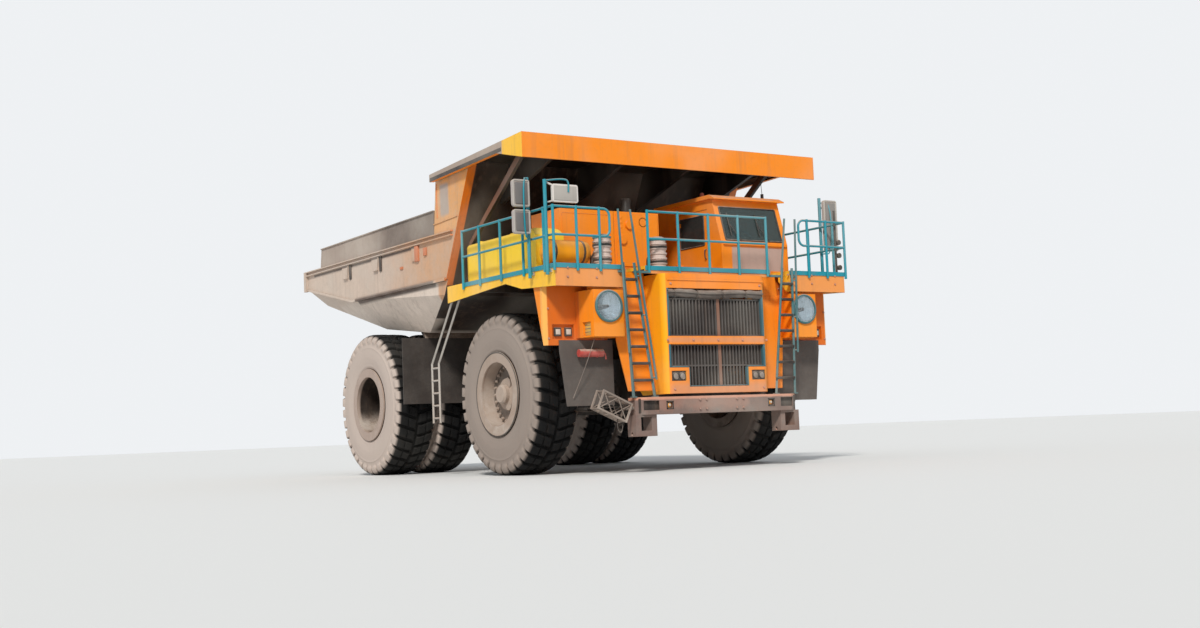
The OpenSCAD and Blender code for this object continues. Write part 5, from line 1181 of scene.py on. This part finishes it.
# %% Fog, marker and corner lamps
FOG_LAMPS_X, FOG_Z = (0.845, 0.995), 1.70
MARKER_X, MARKER_Z = 1.17, 1.182
POST_X, POST_Y = 3.24, -5.525
FOG_RIM = [(0, 0), (0, 0.066), (0.02, 0.070), (0.026, 0.062), (0.016, 0.055), (0.012, 0)]
FOG_LENS = [(0, 0), (0, 0.054), (0.008, 0.052), (0.016, 0.03), (0.019, 0)]
MARKER = [(0, 0), (0, 0.047), (0.03, 0.047), (0.045, 0.036), (0.053, 0.018), (0.055, 0)]
CORNER_LAMP = [(-0.045, 0), (-0.045, 0.03), (-0.02, 0.048), (0.03, 0.052), (0.036, 0.044),
               (0.03, 0)]
fog_case = soft_box((0.762, -5.764, 1.612), (1.078, -5.655, 1.788), 0.006)
fog_rims = [lathe(FOG_RIM, (x, -5.762, FOG_Z), 28) for x in FOG_LAMPS_X]
fog_lenses = [lathe(FOG_LENS, (x, -5.774, FOG_Z), 24) for x in FOG_LAMPS_X]
fitting("fog_lamp_bodies", "gasket", fog_case, *fog_rims, both_sides=True)
fitting("fog_lamp_lenses", "grey", *fog_lenses, both_sides=True)
fitting("marker_lamps", "amber", lathe(MARKER, (MARKER_X, -5.745, MARKER_Z), 28), both_sides=True)
corner_lamps = [tube([(POST_X, POST_Y, z) for z in (3.7004, 4.3, 4.94)], 0.022, 12)]
for z in (3.805, 4.045, 4.305):
    corner_lamps.append(lathe(CORNER_LAMP, (3.305, -5.535, z), 20))
    corner_lamps.append(tube([(POST_X, POST_Y, z - 0.02), (3.275, -5.51, z - 0.03),
                              (3.305, -5.51, z)], 0.012, 8))
fitting("corner_lamps", "gasket", *corner_lamps)
tell("small lamps")

# %% [markdown]
# A quilted winter cover is rolled up above the radiator and tied. Its section is a spiral of a
# thick sheet. The spiral swells and shrinks along the truck, and each tie pinches it. Sums of
# slow sine waves stand in for a cloth simulation, so it comes out the same each time.

# %% Rolled radiator cover
ROLL_HALF = 1.10
ROLL_Y, ROLL_Z = -5.722, 3.202
ROLL_TURNS = 2.4
SHEET_THICK = 0.013
TIES = np.array([-0.93, -0.42, 0.16, 0.71])
TIE_WIDTH, TIE_PINCH = 0.035, 0.20
CLOTH_SMOOTH_ANGLE = 70


def rolled_cover():
    """Spiral: the radius grows evenly with the turn. Along X it is scaled by slow waves and by a
    dip at each tie, and small waves round it puff the quilting."""
    wound = 58
    x = np.linspace(-ROLL_HALF, ROLL_HALF, 150)
    share = np.linspace(0, 1, wound)
    turn = share * ROLL_TURNS * 2 * np.pi + 0.6
    outer = 0.022 + 0.064 * share
    radius = np.concatenate([outer, (outer - SHEET_THICK)[::-1]])
    turn = np.concatenate([turn, turn[::-1]])
    swell = 1 + 0.07 * np.sin(3.1 * x + 1) + 0.05 * np.sin(7.7 * x + 0.4)
    pinch = np.exp(-((x[:, None] - TIES[None]) / TIE_WIDTH) ** 2).sum(1)
    across = np.sin(2 * turn[None] + 4 * x[:, None])
    puff = 0.06 * np.sin(23 * x[:, None] + 2.3 * np.sin(turn)[None]) * across
    scale = (swell * (1 - TIE_PINCH * pinch))[:, None] * (1 + puff)
    spread = radius[None] * scale
    sag = -0.014 * np.cos(4.1 * x + 0.5) - 0.008
    y = ROLL_Y + np.cos(turn)[None] * spread
    z = ROLL_Z + np.sin(turn)[None] * spread * 1.08 + sag[:, None]
    points = np.stack([np.repeat(x[:, None], len(radius), 1), y, z], -1)
    n = len(radius)
    faces = list(grid_faces(len(x), n, wrap_columns=True))
    for row in (0, len(x) - 1):
        i = np.arange(wound - 1)
        faces += list(row * n + np.column_stack([i, i + 1, n - 2 - i, n - 1 - i]))
    return points.reshape(-1, 3), faces


cover = add_mesh("rolled_cover", rolled_cover(), finishes["cover"], "chassis", CLOTH_SMOOTH_ANGLE)
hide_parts("cover_roll")
tie_turn = np.linspace(0, 2 * np.pi, 25)
ties = [tube(np.column_stack([np.full(25, x), ROLL_Y + 0.077 * np.cos(tie_turn),
                              ROLL_Z - 0.014 + 0.084 * np.sin(tie_turn)]), 0.006, 8)
        for x in TIES]
fitting("cover_ties", "gasket", *ties)
tell("rolled cover")

# %% [markdown]
# The front is dressed with what is bolted to it. Painted strips line the radiator openings,
# screws hold the cross bar, and the ladders have treads. All are soft-edged boxes and bolt
# heads. The strips part by a few millimetres where they meet, so that no two share a corner.

# %% Strips, screws and ladder treads
FACE_Y = -5.78
# Upright strips: low x, width, low z, high z
UPRIGHT_STRIPS = [
    (-1.112, 0.04, 2.42, 3.29), (-1.112, 0.04, 1.85, 2.27),
    (1.072, 0.04, 2.42, 3.29), (1.072, 0.04, 1.85, 2.27),
    (-0.692, 0.03, 1.50, 1.85), (0.662, 0.03, 1.50, 1.85)]
# Level strips: low x, high x, low z, high z
LEVEL_STRIPS = [(-1.068, -0.688, 1.853, 1.876), (0.688, 1.068, 1.853, 1.876),
                (-0.658, 0.658, 1.503, 1.522)]
LADDER_FOOT_Z, LADDER_TOP_Z = 1.338, 3.70


def along_ladder(z):
    """Place of both stiles of the front ladder at a height: inner x, outer x, y."""
    share = (z - LADDER_FOOT_Z) / (LADDER_TOP_Z - LADDER_FOOT_Z)
    return 1.405 + share * (1.72 - 1.405), 1.865 + share * (1.962 - 1.865), -5.68 + share * 0.025


strips = [soft_box((x, FACE_Y + 0.012, z0), (x + wide, FACE_Y + 0.088, z1), 0.005)
          for x, wide, z0, z1 in UPRIGHT_STRIPS]
strips += [soft_box((x0, FACE_Y + 0.014, z0), (x1, FACE_Y + 0.086, z1), 0.005)
           for x0, x1, z0, z1 in LEVEL_STRIPS]
fitting("opening_strips", "strip", *strips)
screws = [(x, FACE_Y, 2.345) for x in (-1.14, -0.57, 0.0, 0.57, 1.14)]
screws += [(x, FACE_Y, z) for x in (-1.03, 1.03) for z in (1.46, 3.37)]
fitting("front_screws", "bumper", bolts(screws, FORWARD, 0.018))
# Painted shade: dark plates inside the bumper's end openings, for the shade in them.
bumper_opening_shadow = soft_box((1.32, -5.745, 1.05), (1.80, -5.72, 1.31), 0.004, 1)
fitting("bumper_opening_shadows", "gasket", bumper_opening_shadow, both_sides=True)
bumper_bolts = [(x, -5.805, z) for x in (0.35, 0.50) for z in (1.09, 1.26)]
fitting("bumper_bolts", "bumper", bolts(bumper_bolts, FORWARD, 0.02), both_sides=True)
treads = []
for z in 1.64 + 0.3 * np.arange(7):
    inner, outer, y = along_ladder(z)
    treads.append(soft_box((inner + 0.018, y - 0.042, z - 0.028),
                           (outer - 0.018, y + 0.05, z + 0.02), 0.005))
fitting("ladder_treads", "gasket", *treads, both_sides=True)
tell("trim of the front")

# %% [markdown]
# Small fittings were too fine for the frame. Three more helpers make most of them: a
# square-edged bar between two points, a closed tube through corners, and the same tube round a
# rectangle. A closed tube would turn oval if its long sides were softened too, so each corner
# is cut only near itself.

# %% Bars and loops
CORNER_REACH = 0.05


def beam(a, b, wide, high):
    """A square-edged bar between two points, given by its width across and its height up."""
    a, b = np.asarray(a, float), np.asarray(b, float)
    aside, up, _ = frame_of(b - a)
    ring = np.array([aside * sx * wide / 2 + up * sz * high / 2
                     for sx, sz in ((-1, -1), (1, -1), (1, 1), (-1, 1))])
    caps = [np.arange(4)[::-1], np.arange(4, 8)]
    return np.vstack([a + ring, b + ring]), [*grid_faces(2, 4, wrap_columns=True), *caps]


def toward(corners, step):
    """From each corner, the way to its neighbour, as far as 5 cm and at most 0.4 of the way."""
    way = np.roll(corners, step, axis=0) - corners
    return way * np.minimum(CORNER_REACH / np.linalg.norm(way, axis=1), 0.4)[:, None]


def loop(corners, radius, sides=8):
    """A closed tube through corners; each is cut only as far as 5 cm from it."""
    corners = np.asarray(corners, float)
    near = np.stack([corners + toward(corners, 1), corners, corners + toward(corners, -1)], 1)
    middle = (corners[0] + corners[-1]) / 2
    line = softened(np.vstack([middle, near.reshape(-1, 3), middle]), 2)
    return tube(line, radius, sides, np.cross(corners[1] - corners[0], corners[2] - corners[1]))


def flat_loop(x0, x1, z0, z1, y_at, radius):
    """A tube round a rectangle in X and Z whose Y may change with the height."""
    corners = ((x0, z0), (x1, z0), (x1, z1), (x0, z1))
    return loop([(x, y_at(z), z) for x, z in corners], radius)


# %% [markdown]
# Mirrors hang out in front of both sides of the deck, so that the body's sides show from the
# cab. Each head has a silvered glass towards the tail, a dark back, and a rim of bent tube. A
# guard of thicker tube stands outside it, and one more carries the wing mirror over the deck's
# right front corner.

# %% Mirrors
MIRROR_RIM_Y = -5.003
# Mirror heads: low x, high x, low z, high z
MIRROR_HEADS = [(-3.80, -3.45, 4.27, 4.705), (-3.80, -3.45, 4.75, 5.24), (3.45, 3.80, 4.21, 5.25)]
# Guards: side, low z, high z
GUARDS = [(-1, 4.22, 5.27), (1, 4.16, 5.20)]
WING_ARM = [(-3.437, -5.50, 5.15), (-3.10, -5.56, 5.19), (-2.98, -5.56, 5.16), (-2.98, -5.54, 4.96)]
fitting("mirror_glass", "mirror", *[
    soft_box((x0 + 0.03, -4.946, z0 + 0.03), (x1 - 0.03, -4.938, z1 - 0.03), 0.003)
    for x0, x1, z0, z1 in MIRROR_HEADS])
fitting("mirror_backs", "mirror_back", *[
    soft_box((x0 + 0.05, -5.024, z0 + 0.05), (x1 - 0.05, -5.0, z1 - 0.05), 0.02, 3)
    for x0, x1, z0, z1 in MIRROR_HEADS])
fitting("mirror_rims", "rail", *[
    flat_loop(x0 + 0.02, x1 - 0.02, z0 + 0.02, z1 - 0.02, lambda z: MIRROR_RIM_Y, 0.018)
    for x0, x1, z0, z1 in MIRROR_HEADS])
guards = [[(side * 3.437, -4.90, high), (side * 3.60, -5.045, high), (side * 3.60, -5.045, low),
           (side * 3.437, -4.90, low)] for side, low, high in GUARDS]
fitting("mirror_guards", "teal", *[tube(softened(path), 0.015, 10) for path in (*guards, WING_ARM)])
fitting("wing_mirror_back", "rail",
        soft_box((-3.27, -5.534, 4.81), (-2.80, -5.52, 5.07), 0.012, 3))
tell("mirrors")

# %% [markdown]
# Black rubber holds the cab's windscreen in its leaning front, and two wipers rest on the
# glass: each is an arm from a pivot below the screen and an upright blade. Their places follow
# the lean by one formula, so they lie on the glass from top to bottom.

# %% Windscreen and wipers


def cab_front(z, ahead=0.0):
    """Y of the cab's leaning front at a height."""
    return -4.995 - ahead + 0.26 * (z - 4.29) / 0.89


windscreen_gasket = flat_loop(0.925, 2.325, 4.345, 5.015, cab_front, 0.017)
fitting("windscreen_gasket", "gasket", windscreen_gasket)
wipers = []
for x in (1.30, 2.0):
    wipers.append(tube([(x, cab_front(4.33, 0.01), 4.33), (x - 0.02, cab_front(4.36, 0.03), 4.36),
                        (x - 0.22, cab_front(4.66, 0.028), 4.66)], 0.008, 8))
    wipers.append(beam((x - 0.22, cab_front(4.44, 0.018), 4.44),
                       (x - 0.23, cab_front(4.90, 0.018), 4.90), 0.012, 0.014))
fitting("wipers", "gasket", *wipers)
tell("windscreen")

# %% [markdown]
# Each cab door has a pane in a rubber frame, a bent bar as its handle, and two hinge barrels.
# They ride with the door's body, so they swing with it. The two doors mirror each other about
# the cab's own middle, so a loop places them by the door's outer face and the way out.

# %% Cab doors
DOOR_PANE = [(-4.465, 4.30), (-3.695, 4.30), (-3.695, 4.89), (-4.465, 4.89)]
HINGE_Y = -3.612
for side_name, x, away in (("right", 0.80, -1), ("left", 2.45, 1)):
    body = "door_" + side_name
    rubber = loop([(x + away * 0.004, y, z) for y, z in DOOR_PANE], 0.013)
    fitting(body + "_gasket", "gasket", rubber, body=body)
    # The pane's dark colour is painted shade, for the cab behind the glass.
    pane = soft_box((x + away * 0.001 - 0.003, -4.452, 4.312),
                    (x + away * 0.001 + 0.003, -3.708, 4.878), 0.002, 1)
    fitting(body + "_pane", "pane", pane, body=body)
    handle = [(x, -4.51, 4.02), (x + away * 0.045, -4.51, 4.03), (x + away * 0.045, -4.51, 4.20),
              (x, -4.51, 4.21)]
    fitting(body + "_handle", "gasket", tube(softened(handle), 0.011, 10), body=body)
    hinges = [tube([(x + away * 0.012, HINGE_Y, z), (x + away * 0.012, HINGE_Y, z + 0.09)],
                   0.013, 10) for z in (3.92, 4.76)]
    fitting(body + "_hinges", "gasket", *hinges, body=body)
tell("cab doors")

# %% [markdown]
# The roof carries a beacon on a foot, an aerial with its whip, and a drip rail over each door.
# The beacon and its foot are two turned profiles about one upright axis.

# %% Roof
BEACON = (0.95, -4.25, 5.248)
AERIAL_X, AERIAL_Y = 2.36, -4.40
BEACON_FOOT = [(0, 0), (0, 0.065), (0.03, 0.06), (0.03, 0)]
BEACON_LENS = [(0.028, 0), (0.028, 0.046), (0.10, 0.044), (0.125, 0.028), (0.13, 0)]
fitting("beacon", "beacon", revolved(BEACON_LENS, BEACON, UPWARD, 28))
aerial = tube([(AERIAL_X, AERIAL_Y, 5.248), (AERIAL_X, AERIAL_Y, 5.40)], 0.032, 14)
whip = tube([(AERIAL_X, AERIAL_Y, 5.40), (2.37, -4.36, 5.72)], 0.006, 6)
fitting("roof_fittings", "gasket", revolved(BEACON_FOOT, BEACON, UPWARD, 28), aerial, whip)
fitting("cab_drip_rails", "cab", *[beam((x, -4.72, 5.185), (x, -2.98, 5.185), 0.02, 0.014)
                                   for x in (0.798, 2.452)])
tell("roof")

# %% [markdown]
# Two air cleaners stand on the deck: drums with a shallow cap, two straps and an outlet pipe
# that bends down through the deck. Cap and straps are turned about the drum's axis. The pipe is
# a softened path, so its bend is round.

# %% Air cleaners
CLEANERS = [(-2.19, -5.345), (-0.97, -5.345)]
CAP = [(0, 0), (0, 0.162), (0.02, 0.172), (0.035, 0.165), (0.075, 0.09), (0.085, 0)]
STRAP = [(-0.02, 0.150), (-0.02, 0.174), (0.02, 0.174), (0.02, 0.150)]
caps = [revolved(CAP, (x, y, 4.195), UPWARD, 36) for x, y in CLEANERS]
straps = [revolved(STRAP, (x, y, z), UPWARD, 36) for x, y in CLEANERS for z in (3.805, 4.075)]
bends = [softened([(x, y + 0.10, 3.95), (x + 0.02, y + 0.32, 3.95), (x + 0.02, y + 0.34, 3.72)], 3)
         for x, y in CLEANERS]
fitting("cleaner_caps", "teal", *caps)
fitting("cleaner_straps", "gasket", *straps)
fitting("cleaner_pipes", "gasket", *[tube(bend, 0.045, 14) for bend in bends])
tell("air cleaners")

# %% [markdown]
# The cabinets behind them have round louvres and a port, a seam round each door with a latch,
# and the end of a pipe on top. A seam is a thin tube half sunk in the front, which throws the
# same fine shadow as a real gap and needs no cut in the solid.

# %% Cabinets
CABINET_FACE_Y, SEAM_Y = -4.397, -4.396
LOUVRE = [(-0.004, 0), (-0.004, 0.042), (0.016, 0.036), (0.026, 0.020), (0.028, 0)]
PORT = [(-0.004, 0.075), (-0.004, 0.098), (0.018, 0.092), (0.018, 0.078)]
STUB = [(0, 0), (0, 0.10), (0.28, 0.10), (0.30, 0.085), (0.30, 0.07), (0.10, 0.07), (0.10, 0)]
# Cabinet doors: low x, high x, low z, high z
CABINET_DOORS = [(-2.42, -1.36, 3.80, 4.80), (-1.20, -0.32, 3.80, 4.25)]
louvres = [lathe(LOUVRE, (-1.13, CABINET_FACE_Y, z), 20) for z in (4.76, 4.67, 4.58)]
fitting("cabinet_ports", "orange", *louvres, lathe(PORT, (-0.62, CABINET_FACE_Y, 4.69), 32))
fitting("exhaust_stub", "dark", revolved(STUB, (-0.80, -4.12, 4.875), UPWARD, 28))
seams, latches = [], []
for x0, x1, z0, z1 in CABINET_DOORS:
    middle_z = (z0 + z1) / 2
    seams.append(flat_loop(x0, x1, z0, z1, lambda z: SEAM_Y, 0.006))
    latches.append(soft_box((x1 - 0.10, -4.425, middle_z - 0.06),
                            (x1 - 0.07, -4.392, middle_z + 0.06)))
fitting("cabinet_seams", "orange", *seams)
fitting("cabinet_latches", "gasket", *latches)
tell("cabinets")

# %% [markdown]
# The yellow tank is strapped down and has a filler cap, and the air receiver across the front
# has two bands and a drain. Rows of bolts hold the deck's apron and the fenders.

# %% Tank, air receiver and front bolts
RECEIVER_Y, RECEIVER_Z = -4.895, 3.99
SIDEWAYS = (1, 0, 0)
TANK_CAP = [(0, 0), (0, 0.07), (0.05, 0.07), (0.06, 0.055), (0.06, 0)]
RECEIVER_BAND = [(-0.02, 0.213), (-0.02, 0.222), (0.02, 0.222), (0.02, 0.213)]
tank_straps = [soft_box((-3.128, y, 3.72), (-2.512, y + 0.05, 4.487), 0.004)
               for y in (-4.15, -2.50)]
fitting("tank_straps", "yellow", *tank_straps, revolved(TANK_CAP, (-2.82, -3.3, 4.478), UPWARD, 24))
bands = [revolved(RECEIVER_BAND, (x, RECEIVER_Y, RECEIVER_Z), SIDEWAYS, 36) for x in (-3.0, -2.4)]
drain = softened([(-2.22, RECEIVER_Y, RECEIVER_Z), (-2.15, RECEIVER_Y, RECEIVER_Z),
                  (-2.15, RECEIVER_Y, 3.78)], 3)
fitting("receiver_bands", "gasket", *bands, tube(drain, 0.018, 10))
front_bolts = [(x, -5.607, z) for x in (-3.1, -2.5, -1.9, 1.9, 2.5, 3.1) for z in (3.46, 3.62)]
front_bolts += [(side * x, -5.097, z) for side in (-1, 1) for x in (2.08, 3.22)
                for z in (2.42, 2.95, 3.4)]
fitting("front_bolts", "bumper", bolts(front_bolts, FORWARD, 0.016))
tell("tank, receiver and bolts")

# %% [markdown]
# The folded steps hang tilted at the bumper's right end. Their slats and crossed bars are drawn
# level about the origin, where the numbers are simple, and then turned and moved into place
# with one formula. A loop of cord hangs from them, and a wire stay runs down in front of the
# mudflap: both follow listed points.

# %% Folded steps and their cords
STEP_TILT = math.radians(24)
STEP_CORNER = (-2.07, -5.615, 0.89)
HANGING_LOOP = [(-2.12, -5.60, 1.04), (-2.10, -5.66, 0.86), (-2.16, -5.68, 0.70),
                (-2.24, -5.68, 0.78), (-2.20, -5.64, 0.96), (-2.16, -5.60, 1.04)]
FLAP_STAY = [(-2.46, -5.398, 2.40), (-2.60, -5.32, 1.95), (-2.80, -5.16, 1.36)]


def hung(shape):
    """The steps' shape turned by their tilt about Y and moved to their corner."""
    points, faces = shape
    x, y, z = points.T
    cosine, sine = math.cos(STEP_TILT), math.sin(STEP_TILT)
    return np.column_stack([STEP_CORNER[0] - x * cosine + z * sine, y + STEP_CORNER[1],
                            STEP_CORNER[2] + x * sine + z * cosine]), faces


slats = [soft_box((x - 0.012, -0.122, z - 0.012), (x + 0.012, 0.122, z + 0.012), 0.003, 1)
         for x in np.linspace(0.05, 0.60, 8) for z in (0.012, 0.345)]
slats += [beam((x, y, z), (x + 0.31, y, 0.36 - z), 0.014, 0.014)
          for x in (0.02, 0.33) for z in (0.02, 0.34) for y in (-0.11, 0.11)]
fitting("step_grid", "grey", hung(joined(slats)))
fitting("step_hanger", "gasket", tube(softened(HANGING_LOOP), 0.009, 8))
fitting("flap_stay", "grey", tube(softened(FLAP_STAY, 1), 0.006, 8))
tell("folded steps")

# %% [markdown]
# A red canister with a short outlet lies under the pod in two clips. Each marker lamp sits in a
# square well of four bars, so that the lamp stays in sight, and a pale tip closes its lens.

# %% Canister and marker lamps
CANISTER_Y, CANISTER_Z = -5.255, 2.15
CLIP = [(-0.014, 0.068), (-0.014, 0.077), (0.014, 0.077), (0.014, 0.068)]
MARKER_TIP = [(0, 0), (0, 0.026), (0.008, 0.018), (0.011, 0)]
WELL_FRONT_Y, WELL_BACK_Y = -5.813, -5.80
clips = [revolved(CLIP, (x, CANISTER_Y, CANISTER_Z), SIDEWAYS, 28) for x in (-2.60, -2.33)]
nozzle = softened([(-2.21, CANISTER_Y, CANISTER_Z), (-2.15, CANISTER_Y, CANISTER_Z),
                   (-2.14, CANISTER_Y, 2.04)])
fitting("canister_clips", "red", *clips, tube(nozzle, 0.014, 8))
well = [soft_box((MARKER_X - 0.078, WELL_FRONT_Y, MARKER_Z + z0),
                 (MARKER_X + 0.078, WELL_BACK_Y, MARKER_Z + z1), 0.003, 1)
        for z0, z1 in ((0.052, 0.076), (-0.076, -0.052))]
well += [soft_box((MARKER_X + x0, WELL_FRONT_Y, 1.108),
                  (MARKER_X + x0 + 0.024, WELL_BACK_Y, 1.256), 0.003, 1) for x0 in (-0.078, 0.054)]
fitting("marker_wells", "gasket", *well, both_sides=True)
fitting("marker_tips", "pale_lens", lathe(MARKER_TIP, (MARKER_X, -5.797, MARKER_Z), 20),
        both_sides=True)
tell("canister and marker lamps")

# %% [markdown]
# Brackets are welded on the body's side plates, and dark plates beside the ribs are painted
# shadow. Bars stiffen the cheeks of the front wall, flanges line the canopy's edge, and a dark
# strip along its side is a painted shadow line. They ride with the dump body, so all of them tip
# with it.

# %% Dump body and canopy edges
PLATE_X = 3.296
GUSSETS_Y = (1.635, 3.235)
CHEEK_X, FLANGE_X, SHADE_X = 3.306, 3.395, 3.4415
on_body = dict(body="dump_body", both_sides=True)
fitting("body_brackets", "bracket",
        soft_box((PLATE_X, -0.27, 4.36), (3.345, -0.12, 4.685), 0.006),
        soft_box((PLATE_X, -0.62, 4.44), (3.335, -0.50, 4.60), 0.006),
        soft_box((PLATE_X, 0.50, 4.28), (3.325, 0.62, 4.34), 0.006), **on_body)
fitting("body_bracket_plates", "body",
        soft_box((PLATE_X, -0.12, 4.38), (3.338, 0.03, 4.685), 0.006), **on_body)
# Painted shadow: dark plates beside the ribs stand for the ribs' shadows.
fitting("gusset_shadow_plates", "trim", *[
    soft_box((PLATE_X, y - 0.10, 4.36), (3.325, y - 0.005, 4.685), 0.004, 1)
    for y in GUSSETS_Y], **on_body)
fitting("cheek_bars", "body",
        beam((CHEEK_X, -0.97, 5.01), (CHEEK_X, -1.98, 5.05), 0.022, 0.022),
        beam((CHEEK_X, -1.12, 5.12), (CHEEK_X, -1.12, 5.80), 0.016, 0.016), **on_body)
fitting("canopy_flanges", "housing",
        beam((FLANGE_X, -4.72, 5.712), (FLANGE_X, -3.83, 5.934), 0.08, 0.012),
        beam((FLANGE_X, -3.83, 5.934), (FLANGE_X, -1.12, 5.846), 0.08, 0.012), **on_body)
# Painted shadow: a thin dark strip along the canopy's side stands for a shadow line there.
fitting("canopy_side_shadow_strips", "trim",
        beam((SHADE_X, -4.02, 5.972), (SHADE_X, -1.12, 5.880), 0.005, 0.07), **on_body)
tell("dump body and canopy")
